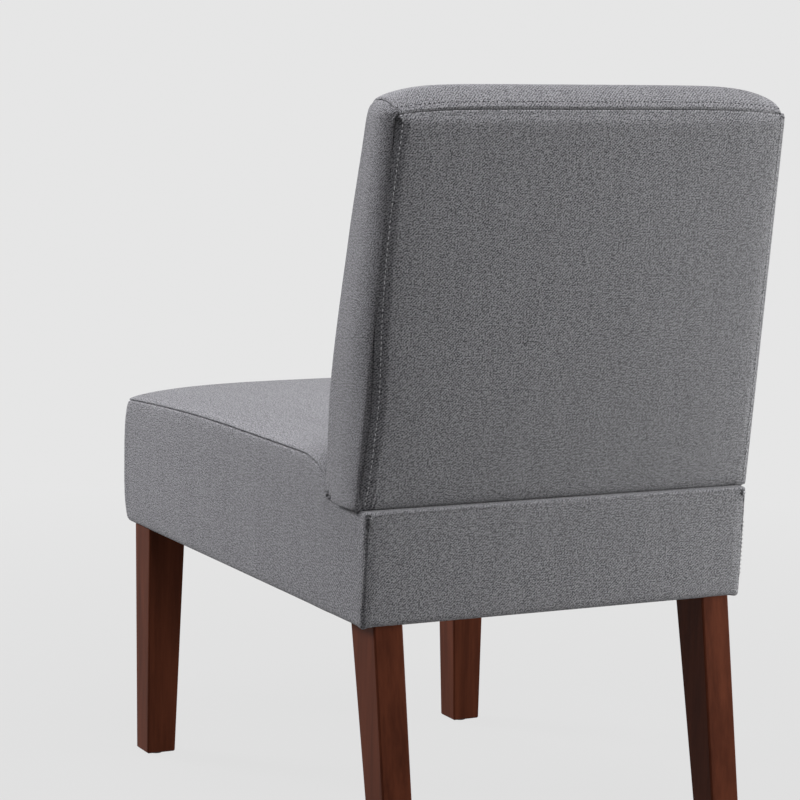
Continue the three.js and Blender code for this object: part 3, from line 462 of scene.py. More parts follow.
def cloth_mesh(name, points, marks, flip):
    """A cloth with its own thickness, from a grid of points in millimetres and its cloth coordinates."""
    rows, columns = points.shape[:2]
    corners = points.reshape(-1, 3).copy()
    corners[:, 1] += rear_edge
    index = np.arange(rows * columns).reshape(rows, columns)
    faces = np.stack([index[:-1, :-1], index[:-1, 1:], index[1:, 1:], index[1:, :-1]], -1).reshape(-1, 4)
    if flip:
        faces = faces[:, ::-1]
    mesh = bpy.data.meshes.new(name)
    mesh.from_pydata((corners / 1000).tolist(), [], faces.tolist())
    layer = mesh.uv_layers.new(name="cloth")
    loops = np.array([loop.vertex_index for loop in mesh.loops])
    layer.data.foreach_set("uv", (marks.reshape(-1, 2)[loops] / 1000).astype(np.float32).ravel())
    mesh.polygons.foreach_set("use_smooth", [True] * len(mesh.polygons))
    piece = new_object(name, mesh)
    thicken = piece.modifiers.new("cloth", "SOLIDIFY")
    thicken.thickness, thicken.offset = CLOTH / 1000, -1
    bake(piece)
    return piece


def bake(piece):
    """Turns the evaluated object into a plain mesh and takes its modifiers away."""
    bpy.context.view_layer.update()
    graph = bpy.context.evaluated_depsgraph_get()
    mesh = bpy.data.meshes.new_from_object(piece.evaluated_get(graph), preserve_all_data_layers=True, depsgraph=graph)
    piece.modifiers.clear()
    old = piece.data
    piece.data = mesh
    mesh.name = piece.name
    bpy.data.meshes.remove(old)


PANELS = {}


def dress(piece, *nodes, fill=0.8):
    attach(piece, "root")
    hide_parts(*nodes)
    PANELS[piece.name] = piece
    print(piece.name, "faces", len(piece.data.polygons))


# %% [markdown]
# ## Seat top
# The top of the seat is one panel. It is crowned by the foam, falls to the deck under the back, and is
# sewn to the boxing all round. Its rows follow the plan of the seat, with its rounded corners.

# %% Seat top panel
def front_corner(turn):
    """x and y on the rounded front corner, from the front face (0) to the side (a right angle)."""
    return SEAT_HALF - FRONT_CORNER * (1 - np.sin(turn)), -SEAT_DEPTH + FRONT_CORNER * (1 - np.cos(turn))


def rear_corner(turn):
    return SEAT_HALF - REAR_CORNER * (1 - np.sin(turn)), -REAR_CORNER * (1 - np.cos(turn))


def plan_rows():
    """y, half width and lean of each row of the seat's top, from the front to the rear."""
    turns = np.linspace(0, np.pi / 2, 40)
    lengths = np.linspace(-SEAT_DEPTH + FRONT_CORNER, -REAR_CORNER, 400)[1:-1]
    rows = [front_corner(turn)[::-1] + (0,) for turn in turns]
    rows += [(y, SEAT_HALF, rear_lean(y)) for y in lengths]
    rows += [rear_corner(turn)[::-1] + (REAR_LEAN,) for turn in turns[::-1]]
    return np.array(rows)


PLAN = plan_rows()


def seat_top_surface(u, v):
    spot = lerp(v, 0.5 - 0.5 * np.cos(np.pi * v), 0.6)
    y, half, lean = (np.interp(spot, np.linspace(0, 1, len(PLAN)), PLAN[:, k]) for k in range(3))
    share = np.sin(np.pi * (u - 0.5))
    rise = SEAT_CROWN * dome(1 - np.abs(share)) * dome((y + SEAT_DEPTH) / FRONT_ROLL) * rear_roll(y)
    return np.stack([half * share, y + lean, seat_edge_z(y) + rise], -1)


panel = make_panel("seat_top_panel", seat_top_surface, (SEWN,) * 4, (5, 5), seed=1,
                   corners=(0.8, 0.9, 0.8, 0.8), steady=9)
dress(panel, "seat_top_cover", "seat_foam", "seat_deck_pad")

# %% [markdown]
# ## Seat boxing
# The boxing runs round the seat in four panels and turns under the rails, where it is stapled. It could be
# one band with a painted seam. Four panels give real seams: in front beyond the round corner, at the rear
# on the corner, where the seam wanders over its edge.

# %% Wall of the seat
SIDE_SWELL, FRONT_SWELL = 2.0, 8.0
LEDGE_DROP = 0.5


def wall_path():
    """The left half of the seat's plan, front to rear: x, y and the way it faces, and how far round it is."""
    turns = np.linspace(0, np.pi / 2, 30)
    points = [(x, -SEAT_DEPTH, 0.0, -1.0) for x in np.linspace(0, SEAT_HALF - FRONT_CORNER, 120)]
    points += [(*front_corner(turn), np.sin(turn), -np.cos(turn)) for turn in turns[1:]]
    points += [(SEAT_HALF, y, 1.0, 0.0) for y in np.linspace(-SEAT_DEPTH + FRONT_CORNER, -REAR_CORNER, 300)[1:]]
    points += [(*rear_corner(turn), np.sin(turn), np.cos(turn)) for turn in turns[::-1][1:]]
    points += [(x, 0.0, 0.0, 1.0) for x in np.linspace(SEAT_HALF - REAR_CORNER, 0, 120)[1:]]
    points = np.array(points)
    return points, path_run(points[:, :2])


WALL, WALL_RUN = wall_path()
FRONT_SEAM_RUN = SEAT_HALF - FRONT_CORNER
REAR_CORNER_RUN = FRONT_SEAM_RUN + FRONT_CORNER * math.pi / 2 + SEAT_DEPTH - FRONT_CORNER - REAR_CORNER


def seat_wall(run, down):
    """A point of the wall: run is the way round from the middle of the front, down is 0 at the seam,
    1 at the foot of the upright part, 2 after the lower edge and 3 at the end of the lip."""
    x, y, nx, ny = (np.interp(run, WALL_RUN, WALL[:, k]) for k in range(4))
    size = np.hypot(nx, ny)
    nx, ny = nx / size, ny / size
    top = seat_edge_z(y) - LEDGE_DROP * np.maximum(ny, 0)
    drop = EDGE_DROP + FLAP_DROP * np.exp(-((run - REAR_CORNER_RUN - 4) / FLAP_WIDTH) ** 2)
    foot = UNDERSIDE + LOWER_EDGE - drop
    z = np.where(down < 1, lerp(top, foot, np.clip(down, 0, 1)), foot)
    turn = np.clip(down - 1, 0, 1) * np.pi / 2
    z = z - LOWER_EDGE * np.sin(turn)
    set_in = LOWER_EDGE * (1 - np.cos(turn))
    level = np.clip((z - UNDERSIDE) / (top - UNDERSIDE), 0, 1)
    swell = 1 - (2 * level - 1) ** 4
    along = 1 - np.clip((y + SEAT_DEPTH / 2) / (SEAT_DEPTH / 2), 0, 1) ** 4
    forward = np.maximum(0, -ny) * FRONT_SWELL * (1 - 0.15 * (x / SEAT_HALF) ** 4)
    out = (np.abs(nx) * SIDE_SWELL * along + forward) * swell - set_in
    px, py = x + nx * out, y + rear_lean(y) * level + ny * out
    under = np.clip(down - 2, 0, 1)
    px = lerp(px, np.clip(x, -SEAT_HALF + LIP, SEAT_HALF - LIP), under)
    py = lerp(py, np.clip(y, -SEAT_DEPTH + LIP, -LIP), under)
    return np.stack([px, py, lerp(z, UNDERSIDE, under)], -1)


def rear_seam_run(down):
    """Where the rear seam crosses the corner: on the rear face at the deck, on the corner lower down."""
    turn = np.radians(lerp(18, 56, np.clip(down, 0, 1) ** 0.55))
    return REAR_CORNER_RUN + REAR_CORNER * (np.pi / 2 - turn)


def side_wall(side):
    return lambda u, v: mirrored(seat_wall(lerp(FRONT_SEAM_RUN, rear_seam_run(v * 3), u), v * 3), side)


def front_wall(u, v):
    share = 2 * u - 1
    return mirrored(seat_wall(np.abs(share) * FRONT_SEAM_RUN, v * 3), np.sign(share))


def rear_wall(u, v):
    share = 1 - 2 * u
    return mirrored(seat_wall(lerp(WALL_RUN[-1], rear_seam_run(v * 3), np.abs(share)), v * 3), np.sign(share))


def foot_dip(along):
    """The side's top seam sinks in where the back stands on it, and comes out again at the rear corner."""
    return 0.5 + 1.3 * (ease(along, 576, 602) - ease(along, 666, 682))


def rear_dip(down):
    """The rear corner seams are pulled in, less so near the deck."""
    return 0.5 + 1.3 * ease(down, 5, 22)


# %% Seat boxing panels
BOXED = (SEWN, FREE, SEWN, SEWN)
for side, word in ((1, "left"), (-1, "right")):
    panel = make_panel(f"seat_{word}_panel", side_wall(side), BOXED, (5, 4), seed=2 + side, flip=side > 0,
                       grain=("start", "end"), corners=(0.8, 0, 0, 0.5), dips=(foot_dip, 0.5, 0.5, 0.5))
    dress(panel, f"seat_{word}_cover", f"seat_{word}_pad")
panel = make_panel("seat_front_panel", front_wall, BOXED, (5, 4), seed=8, flip=True, grain=("middle", "end"),
                   corners=(0.8, 0, 0, 0))
dress(panel, "seat_front_cover", "seat_front_pad")
panel = make_panel("seat_rear_panel", rear_wall, BOXED, (5, 4), seed=9, pull=0.6, flip=True,
                   grain=("middle", "end"), corners=(0.9, 0, 0.5, 0.5), dips=(0.5, 0.5, rear_dip, rear_dip))
dress(panel, "seat_rear_cover", "seat_rear_pad")

# %% [markdown]
# ## The back
# The back is covered by four panels. Each side panel rolls round the rear corner into a deep groove, which
# could be carved into a solid. Here it comes as in upholstery: the side panel turns into it, and the folded
# edge of the rear panel comes out of it. The groove closes near the top seam, which is an arch, and the foot.

# %% Side panels of the back
# Shares of the section: end of the front corner, start of the roll, its crest, and where the bulge has ended
CORNER_END, ROLL_START, CREST, BULGE_END = 0.1, 0.45, 0.80, 0.75
# The roll of the left and the right side: how far in from the side, and how far behind the rear plane
# (negative: ahead of it). The right groove is narrow, because the rear panel covers it.
ROLL_SPOTS = [0.45, 0.52, 0.58, 0.63, 0.67, 0.71, 0.75, 0.80, 0.86, 0.93, 1.0]
ROLLS = {1: ([0.0, 0.5, 1.2, 2.0, 2.9, 3.6, 4.2, 4.8, 5.4, 10.0, 22.0],
             [-34.0, -26.0, -18.0, -11.0, -6.0, -4.0, -3.4, -4.2, -5.6, -5.9, -5.9]),
         -1: ([0.0, 0.2, 0.4, 0.6, 0.8, 1.0, 1.3, 1.8, 2.5, 10.0, 22.0],
              [-34.0, -25.0, -18.0, -13.0, -9.5, -7.5, -6.6, -6.2, -5.9, -5.9, -5.9])}
CLOSED_ROLL = ([0.0, 0.15, 0.4, 0.9, 1.7, 3.2, 5.8, 9.0, 11.5, 15.0, 20.0],
               [-34.0, -24.0, -15.0, -9.0, -5.0, -2.3, -0.8, -0.3, -1.8, -5.0, -6.5])
ROLL_LENGTH = 34
# The side swells, more above this height. share - share ** 4 is largest, 0.473, at two thirds of the depth.
BULGE_LOW, BULGE_MORE, BULGE_FROM, BULGE_TO = 1.2, 3.0, 510, 610
# The foot curls in by so much over its last few millimetres
FOOT_CURL, FOOT_HEIGHT = 4.5, 4
FOOT_Y = [-91.2, -77.2, -42.2]
SEAM_ANGLE = math.asin(1 - 5.0 / 14.0)
CORNER_GAP = 1.5
# The seam over the top of a side panel, from the front corner to the rear one
TOP_SEAM = np.array([
    (234.4, -15, 826), (235.4, -12.5, 837), (236.2, -5, 844), (236.9, 5, 848), (237.2, 16, 849.5),
    (236.9, 27, 848.9), (236.3, 38, 846.0), (235.6, 46, 841.6), (234.8, 51, 837.6), (233.8, 53, 835.4)])
TOP_SEAM_RUN = path_run(TOP_SEAM)
# Small folds where the side is pulled to the seat, at its lower front corner
FOOT_GATHERS = [(15, 7, 8, 2.2, 70, 1.7), (21, 6, 8, 2.2, 62, 1.8), (27, 5, 7, 2.2, 52, 1.4)]


def top_seam(share):
    return np.stack([smooth(share * TOP_SEAM_RUN[-1], TOP_SEAM_RUN, TOP_SEAM[:, k]) for k in range(3)], -1)


def side_foot(u):
    return PANEL_FOOT + corner_rise(np.interp(u, [0, CORNER_END, ROLL_START], FOOT_Y))


def side_section(u, z, side):
    """A point of the side panel at a height: the front corner, the flat side, the roll and the groove."""
    low = np.minimum(z, BACK_FOOT + BACK_HEIGHT)
    half, rear = back_half(low), back_rear_y(z)
    front = rear - back_thickness((low - BACK_FOOT) / BACK_HEIGHT)
    turn = lerp(SEAM_ANGLE, np.pi / 2, np.clip(u / CORNER_END, 0, 1))
    flat = np.clip((u - CORNER_END) / 0.35, 0, 1)
    closed = np.maximum(ease(z, 828, 834), 0.75 * ease(-z, -440, -416)) if side > 0 else ease(z, 824, 834)
    roll_in, behind = (lerp(smooth(u, ROLL_SPOTS, ROLLS[side][k]), smooth(u, ROLL_SPOTS, CLOSED_ROLL[k]), closed)
                       for k in (0, 1))
    y = np.where(u < CORNER_END, front + BACK_CORNER * (1 - np.cos(turn)),
                 np.where(u < ROLL_START, lerp(front + BACK_CORNER, rear - ROLL_LENGTH, flat), rear + behind))
    along = np.clip((y - front - BACK_CORNER) / (rear - 4 - front - BACK_CORNER), 0, 1)
    along = np.where(u > BULGE_END, 1, along)
    bulge = (BULGE_LOW + BULGE_MORE * ease(z, BULGE_FROM, BULGE_TO)) * (along - along ** 4) / 0.473
    x = np.where(u < CORNER_END, half - BACK_CORNER * (1 - np.sin(turn)),
                 half + bulge - np.where(u > ROLL_START, roll_in, 0))
    foot = np.clip(1 - (z - side_foot(u)) / FOOT_HEIGHT, 0, 1)
    return np.stack([x - FOOT_CURL * quarter(foot), y, z], -1)


def back_side(side):
    def surface(u, v):
        reach = np.minimum(u, CREST)
        seam = top_seam(np.interp(reach, [0, CORNER_END, ROLL_START, CREST], [0, 0.24, 0.52, 1]))
        seam = seam - CORNER_GAP * np.array([0, 0, 1]) * ease(u, 0.02, CORNER_END)[..., None]
        z = lerp(side_foot(u), seam[..., 2], v)
        nearness = np.clip(1 - (seam[..., 2] - z) / 18, 0, 1) ** 1.6
        point = side_section(u, z, side) + (seam - side_section(reach, seam[..., 2], side)) * nearness[..., None]
        return mirrored(point, side)
    return surface


for side, word in ((1, "left"), (-1, "right")):
    panel = make_panel(f"back_{word}_panel", back_side(side), (SEWN, SEWN, SEWN, FREE), (1.5, 4), seed=20 + side,
                       flip=side < 0, grain=("start", "start"), corners=(0.6, 1, 0, 0), gathers=FOOT_GATHERS)
    dress(panel, f"back_{word}_cover")

# %% [markdown]
# The front panel climbs the front of the back, goes over the top with a soft crown, and ends at the seam
# along the rear edge. Its side edges follow the arches of the side panels.

# %% Front panel of the back, over the top to the rear seam
# Share of the panel that climbs the front, height where the arch starts, and the crown over the middle
CLIMB, ARCH_Z, CROWN_MORE, CROWN_WIDTH = 0.78, 826, 8.8, 85
SIDE_SEAM_IN, FRONT_BULGE, FRONT_CURL = 5.0, 9, 3


def back_front_y(x, z):
    level = (z - BACK_FOOT) / BACK_HEIGHT
    fade = np.sin(np.pi * np.clip(level, 0, 1)) ** 0.6
    inner = back_half(z) - BACK_CORNER
    share = np.clip(np.abs(x) / inner, 0, 1)
    front = back_rear_y(z) - back_thickness(level)
    corner = np.clip(np.abs(x) - inner, 0, BACK_CORNER)
    turn = BACK_CORNER - np.sqrt(np.maximum(BACK_CORNER ** 2 - corner ** 2, 0))
    return front - FRONT_BULGE * fade * (1 - share ** 2.5) + turn


def front_form(share, v):
    climb, over = np.clip(v / CLIMB, 0, 1), np.clip((v - CLIMB) / 0.22, 0, 1)
    x = share * (back_half(lerp(PANEL_FOOT, ARCH_Z, climb)) - SIDE_SEAM_IN)
    top = top_seam_z(x)
    wall = lerp(PANEL_FOOT, lerp(top, ARCH_Z, np.abs(share) ** 12), climb)
    front = back_front_y(x, np.minimum(wall, BACK_FOOT + BACK_HEIGHT))
    middle = (front + back_rear_y(top)) / 2
    crown = BACK_DOME + CROWN_MORE * dome((BACK_TOP_HALF - np.abs(x)) / CROWN_WIDTH)
    y = np.where(v < CLIMB, front, middle - (middle - front) * np.cos(np.pi * over))
    z = lerp(wall, top, over) + crown * np.sin(np.pi * over) ** (0.9 + 0.9 * ease(over, 0.4, 0.75))
    foot = np.clip(1 - (z - PANEL_FOOT) / FRONT_CURL, 0, 1)
    return np.stack([x, y + FRONT_CURL * quarter(foot), z], -1)


def back_front_surface(u, v):
    share = np.sin(np.pi * (u - 0.5) * 0.96) / np.sin(np.pi * 0.48)
    edge = np.where(share < 0, -1.0, 1.0)
    seam = mirrored(top_seam(np.clip((v - CLIMB) / 0.22, 0, 1)), edge)
    seam[..., 0] -= CORNER_GAP * edge * ease(v, 0.785, 0.83)
    near = np.abs(share) ** 12 * ease(v, 0.72, CLIMB)
    return front_form(share, v) + (seam - front_form(edge, v)) * near[..., None]


def over_the_top(share):
    """Where the side edge of the front panel runs over the top, the side panel stands at right angles."""
    return ease(share, 0.83, 0.88)


panel = make_panel("back_front_panel", back_front_surface, (SEWN,) * 4, (5, 4), seed=30,
                   corners=(0.6, 0, over_the_top, over_the_top))
dress(panel, "back_front_cover", "back_foam")

# %% [markdown]
# The rear panel closes the back. Its side edges are folded under and stitched down beside the grooves. A
# fold could be a bevel. Here the cloth really turns under: it starts hidden in the groove, comes out round
# the fold, and rises to the stitches and the padding.

# %% Rear panel, with its folded edges beside the grooves
# How far in the left row of stitches runs, at some heights. It wanders, as a real one does.
STITCH_Z = [413, 428, 461, 488, 518, 549, 623, 708, 784, 823, 836]
STITCH_IN = [10.5, 12.1, 14.5, 15.2, 16.0, 15.1, 10.1, 8.1, 9.9, 11.4, 11.0]
# The folded edges, from the hidden end to the stitches and on: how far in from the fold and how far behind.
# The left one stands back from the side. The right one covers its groove.
FOLDS = {1: ([8.0, 4.0, 1.6, 1.0, 1.4, 2.8, 4.6, 6.5, 9.0, 14.0],
             [-5.6, -5.6, -5.5, -4.9, -4.0, -2.7, -1.0, 0.5, 1.6, 2.8]),
         -1: ([8.0, 4.0, 1.6, 0.7, 0.3, 0.4, 1.2, 3.0, 6.5, 14.0],
              [-5.6, -5.6, -5.5, -4.4, -2.8, -1.3, 0.0, 1.0, 1.9, 2.8])}
# Share of the panel's half that the fold takes, its width, where the stitches lie on it, the place of the
# right fold, and how far the panel ends below the top seam
BORDER, FOLD_WIDTH, FOLD_STITCH, RIGHT_FOLD, TOP_GAP = 0.11, 14, 6.5, 0.2, 1.7
PILLOW, PILLOW_EDGE, PILLOW_CROWN = 3.2, 18, 0.5
REAR_GATHERS = [
    (21, 14, 17, 1.6, 88, 0.5), (25, 11, 15, 1.7, 84, 0.6), (29, 9, 12, 1.9, 80, 0.4), (22, 417, 5, 1.5, 70, 0.5),
    (26, 418, 4, 1.5, 100, 0.5), (472, 6, 9, 2.0, 105, 0.9), (477, 12, 12, 1.9, 95, 0.6)]


def back_rear_surface(u, v):
    share = 2 * u - 1
    z = lerp(PANEL_FOOT, top_seam_z(share * BACK_TOP_HALF) - TOP_GAP, v)
    half, left = back_half(z), share < 0
    fold = np.where(left, smooth(z, STITCH_Z, STITCH_IN) - FOLD_STITCH, RIGHT_FOLD)
    at_fold = np.clip((1 - np.abs(share)) / BORDER, 0, 1)
    spots = np.linspace(0, 1, len(FOLDS[1][0]))
    fold_in, fold_behind = (np.where(left, *(smooth(at_fold, spots, FOLDS[side][k]) for side in (1, -1)))
                            for k in (0, 1))
    fold_x = half - fold - fold_in
    field_share = np.clip(np.abs(share) / (1 - BORDER), 0, 1)
    field_x = (half - fold - FOLD_WIDTH) * field_share
    x = -np.sign(share) * np.where(np.abs(share) < 1 - BORDER, field_x, fold_x)
    fade = np.sin(np.pi * np.clip((z - PANEL_FOOT) / (top_seam_z(x) - PANEL_FOOT), 0, 1)) ** 0.5
    from_stitch = np.maximum(0, half - fold - FOLD_STITCH - np.abs(x))
    pillow = fade * (PILLOW * (1 - np.exp(-from_stitch / PILLOW_EDGE)) + PILLOW_CROWN * (1 - field_share ** 2))
    sewn_down = np.maximum(ease(z, 824, 836), ease(-z, -424, -415))
    border_y = lerp(fold_behind, np.minimum(fold_behind, 0), sewn_down)
    y = back_rear_y(z) + border_y + np.where(at_fold > 0.6, pillow, 0)
    foot = np.clip(1 - (z - PANEL_FOOT) / FOOT_HEIGHT, 0, 1)
    return np.stack([x, y - FOOT_CURL * quarter(foot), z], -1)


panel = make_panel("back_rear_panel", back_rear_surface, (SEWN, SEWN, FOLDED, FOLDED), (3, 4), seed=40,
                   gathers=REAR_GATHERS)
dress(panel, "back_rear_cover", "back_rear_wadding")

# %% [markdown]
# ## Cloth under the seat
# A thin black cloth closes the underside and keeps dust in. It is stretched flat between the lips, so a
# flat sheet with a slight sag is all it needs.

# %% Dust cover
SAG = 0.0016


def make_dust_cover():
    low, high = (np.array(corner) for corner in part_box("dust_cover"))
    size = (high - low)[:2]
    across, along = np.meshgrid(np.linspace(0, 1, 60), np.linspace(0, 1, 90))
    sag = SAG * np.sin(np.pi * across) * np.sin(np.pi * along)
    across, along = across * size[0], along * size[1]
    points = np.stack([low[0] + across, low[1] + along, high[2] - 0.0002 - sag], -1) * 1000
    points[..., 1] -= rear_edge
    piece = cloth_mesh("dust_sheet", points, np.stack([across, along], -1) * 1000, False)
    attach(piece, "root")
    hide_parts("dust_cover")
    return piece


dust_sheet = make_dust_cover()
print("dust cover", len(dust_sheet.data.polygons), "faces")

# %% [markdown]
# ## Finishes
# The cover is a grey twill with light and dark threads mixed, under a millimetre wide, so at a distance
# they read as a fine mottle with faint diagonal lines. A picture of cloth could be laid on it. The weave is
# worked out instead from the cloth's own coordinates, in metres, so it runs along each panel.

# %% Woven fabric
GREY_DARK, GREY_LIGHT = (0.06, 0.06, 0.065, 1), (0.47, 0.47, 0.485, 1)
BLACK_DARK, BLACK_LIGHT = (0.010, 0.010, 0.012, 1), (0.035, 0.035, 0.04, 1)
COVER_THREAD, DUST_THREAD = 0.0009, 0.0006
# Mottle, slubs and broad bands: waves per metre across and along, and how much each counts
UNEVEN = [((540, 680, 1), 3.0), ((170, 720, 1), 0.9), ((45, 3, 1), 0.15)]
TONE_SHARE = 0.42


def mix_colours(tree, share, dark, light):
    return add_node(tree, "ShaderNodeMix", {"Factor": share, 6: dark, 7: light}, data_type="RGBA").outputs[2]


def mix_values(tree, share, low, high):
    return first_of(tree, "ShaderNodeMix", {0: share, 2: low, 3: high}, data_type="FLOAT")


def stretched(tree, place, stretch):
    return first_of(tree, "ShaderNodeMapping", {"Vector": place, "Scale": stretch})


def noise(tree, place, scale=1.0, detail=2.0, roughness=0.5):
    return add_node(tree, "ShaderNodeTexNoise", {
        "Vector": place, "Scale": scale, "Detail": detail, "Roughness": roughness}).outputs["Fac"]


def end_finish(tree, colour, height, relief, depth, sockets):
    """The last nodes of a finish: a bump from a height, and a shader with plain numbers on its sockets."""
    bump = add_node(tree, "ShaderNodeBump", {"Strength": relief, "Distance": depth, "Height": height})
    shader = add_node(tree, "ShaderNodeBsdfPrincipled", {"Base Color": colour, "Normal": bump.outputs[0], **sockets})
    add_node(tree, "ShaderNodeOutputMaterial", {"Surface": shader.outputs[0]})


def thread_tone(tree, number, along, seed):
    """One tone for each few stitches' length of a thread."""
    piece = math_node(tree, "FLOOR", math_node(tree, "MULTIPLY", along, 0.2))
    spot = first_of(tree, "ShaderNodeCombineXYZ", {0: number, 1: piece, 2: seed})
    return add_node(tree, "ShaderNodeTexWhiteNoise", {"Vector": spot}, noise_dimensions="3D").outputs["Value"]


def round_thread(tree, along):
    return math_node(tree, "SINE", math_node(tree, "MULTIPLY", math_node(tree, "FRACT", along), math.pi))


def make_fabric(name, thread, dark, light, twill, relief, sheen):
    material, tree = new_tree(name)
    cloth = first_of(tree, "ShaderNodeUVMap", uv_map="cloth")
    split = add_node(tree, "ShaderNodeSeparateXYZ", {0: cloth})
    warp, weft = (math_node(tree, "DIVIDE", split.outputs[k], thread) for k in (0, 1))
    warp_number, weft_number = math_node(tree, "FLOOR", warp), math_node(tree, "FLOOR", weft)
    shift = math_node(tree, "ADD", math_node(tree, "SUBTRACT", warp_number, weft_number), 8000.0)
    warp_over = math_node(tree, "LESS_THAN", math_node(tree, "MODULO", shift, 4.0), 1.5)
    tones = mix_values(tree, warp_over, thread_tone(tree, weft_number, warp, 7.0),
                       thread_tone(tree, warp_number, weft, 3.0))
    tone = math_node(tree, "MULTIPLY_ADD", math_node(tree, "SUBTRACT", tones, 0.5), TONE_SHARE, 0.5)
    for stretch, weight in UNEVEN:
        part = math_node(tree, "SUBTRACT", noise(tree, stretched(tree, cloth, stretch)), 0.5)
        tone = math_node(tree, "MULTIPLY_ADD", part, weight, tone)
    tone = math_node(tree, "MULTIPLY_ADD", math_node(tree, "SUBTRACT", warp_over, 0.5), twill, tone, clamp=True)
    height = mix_values(tree, warp_over, round_thread(tree, weft), round_thread(tree, warp))
    height = math_node(tree, "MULTIPLY_ADD", tones, 0.5, height)
    end_finish(tree, mix_colours(tree, tone, dark, light), height, relief, 0.0004, {
        "Roughness": 0.92, "Sheen Weight": sheen, "Sheen Roughness": 0.5, "Specular IOR Level": 0.2})
    return material


grey_fabric = make_fabric("grey_fabric", COVER_THREAD, GREY_DARK, GREY_LIGHT, twill=0.34, relief=0.35, sheen=0.12)
black_cloth = make_fabric("black_cloth", DUST_THREAD, BLACK_DARK, BLACK_LIGHT, twill=0.1, relief=0.3, sheen=0.02)
for piece, cloth in [(panel, grey_fabric) for panel in PANELS.values()] + [(dust_sheet, black_cloth)]:
    piece.data.materials.clear()
    piece.data.materials.append(cloth)
print("fabric with threads", COVER_THREAD * 1000, "mm wide on", len(PANELS), "panels")

# %% [markdown]
# ## Stitches
# Stitches hold the folded edges of the rear panel, the seam over the top and the rear corners of the seat.
# Each could be copied by hand. A geometry node tree sets a small thread on each evenly spaced point of a
# line instead. It also sets near-black beads along the top row of the front panel. They are painted shade,
# standing for the shadow in the dimples where the stitches have sunk in.

# %% Lines that the stitches follow
def line_beside(surface, end, gap, spread, lift):
    """A line on a panel at a distance from one of its ends ("v high", "u high"), moved along the normal."""
    fine, coarse = np.linspace(1, 0.6, 500), np.linspace(*spread, SAMPLES)
    u, v = np.meshgrid(coarse, fine) if end == "v high" else np.meshgrid(coarse, fine)[::-1]
    grid = surface(u, v)
    run, _ = distances(grid)
    normal = facing(grid)
    line = []
    for column in range(SAMPLES):
        spot, way = (np.array([np.interp(gap, run[:, column], part[:, column, k]) for k in range(3)])
                     for part in (grid, normal))
        line.append(spot + way / np.linalg.norm(way) * lift)
    return np.array(line)


def groove_line(side):
    """The row of stitches on a fold: the left one wanders, the right one runs along the side."""
    z = np.linspace(424, 828, 300)
    if side > 0:
        x, behind = back_half(z) - smooth(z, STITCH_Z, STITCH_IN), FOLDS[1][1][7]
    else:
        x, behind = -(back_half(z) - RIGHT_FOLD - FOLDS[-1][0][8]), FOLDS[-1][1][8]
    return np.stack([x, back_rear_y(z) + behind + 0.4, z], -1)


def stitch_tree(name):
    tree = bpy.data.node_groups.new(name, "GeometryNodeTree")
    kinds = {"Geometry": "Geometry", "Stitch": "Float", "Pitch": "Float", "Thread": "Float", "Finish": "Material"}
    sockets = {label: tree.interface.new_socket(label, in_out="INPUT", socket_type="NodeSocket" + kind).identifier
               for label, kind in kinds.items()}
    tree.interface.new_socket("Geometry", in_out="OUTPUT", socket_type="NodeSocketGeometry")
    given = tree.nodes.new("NodeGroupInput").outputs
    curve = first_of(tree, "GeometryNodeMeshToCurve", {"Mesh": given["Geometry"]})
    even = first_of(tree, "GeometryNodeResampleCurve", {"Curve": curve, "Length": given["Pitch"]}, mode="LENGTH")
    bead = first_of(tree, "GeometryNodeMeshUVSphere", {"Segments": 8, "Rings": 5, "Radius": 0.5})
    shape = first_of(tree, "ShaderNodeCombineXYZ", {0: given["Thread"], 1: given["Thread"], 2: given["Stitch"]})
    thread = first_of(tree, "GeometryNodeTransform", {"Geometry": bead, "Scale": shape})
    way = first_of(tree, "GeometryNodeInputTangent")
    turn = first_of(tree, "FunctionNodeAlignRotationToVector", {"Vector": way}, axis="Z")
    uneven = first_of(tree, "FunctionNodeRandomValue", {
        "Min": (0.85, 0.85, 0.75), "Max": (1.1, 1.1, 1.15), "Seed": 4}, data_type="FLOAT_VECTOR")
    row = first_of(tree, "GeometryNodeInstanceOnPoints", {
        "Points": even, "Instance": thread, "Rotation": turn, "Scale": uneven})
    real = first_of(tree, "GeometryNodeRealizeInstances", {0: row})
    painted = first_of(tree, "GeometryNodeSetMaterial", {"Geometry": real, "Material": given["Finish"]})
    add_node(tree, "NodeGroupOutput", {0: painted})
    return tree, sockets


STITCHES, STITCH_SOCKETS = stitch_tree("stitches_along_a_line")


def sew(name, lines, finish, stitch, pitch, thread):
    points, edges = [], []
    for line in lines:
        start = len(points)
        points += [(x / 1000, (y + rear_edge) / 1000, z / 1000) for x, y, z in line.tolist()]
        edges += [(start + k, start + k + 1) for k in range(len(line) - 1)]
    mesh = bpy.data.meshes.new(name)
    mesh.from_pydata(points, edges, [])
    piece = new_object(name, mesh)
    work = piece.modifiers.new("stitches", "NODES")
    work.node_group = STITCHES
    for label, size in (("Stitch", stitch), ("Pitch", pitch), ("Thread", thread)):
        work[STITCH_SOCKETS[label]] = size / 1000
    work[STITCH_SOCKETS["Finish"]] = finish
    bake(piece)
    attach(piece, "root")
    print(name, "faces", len(piece.data.polygons))


# %% Sew the rows
def make_thread(name, dark, light):
    material, tree = new_tree(name)
    ply = noise(tree, stretched(tree, own_place(tree), (2500, 2500, 2500)))
    end_finish(tree, mix_colours(tree, ply, dark, light), ply, 0.4, 0.0002, {
        "Roughness": 0.7, "Specular IOR Level": 0.3})
    return material


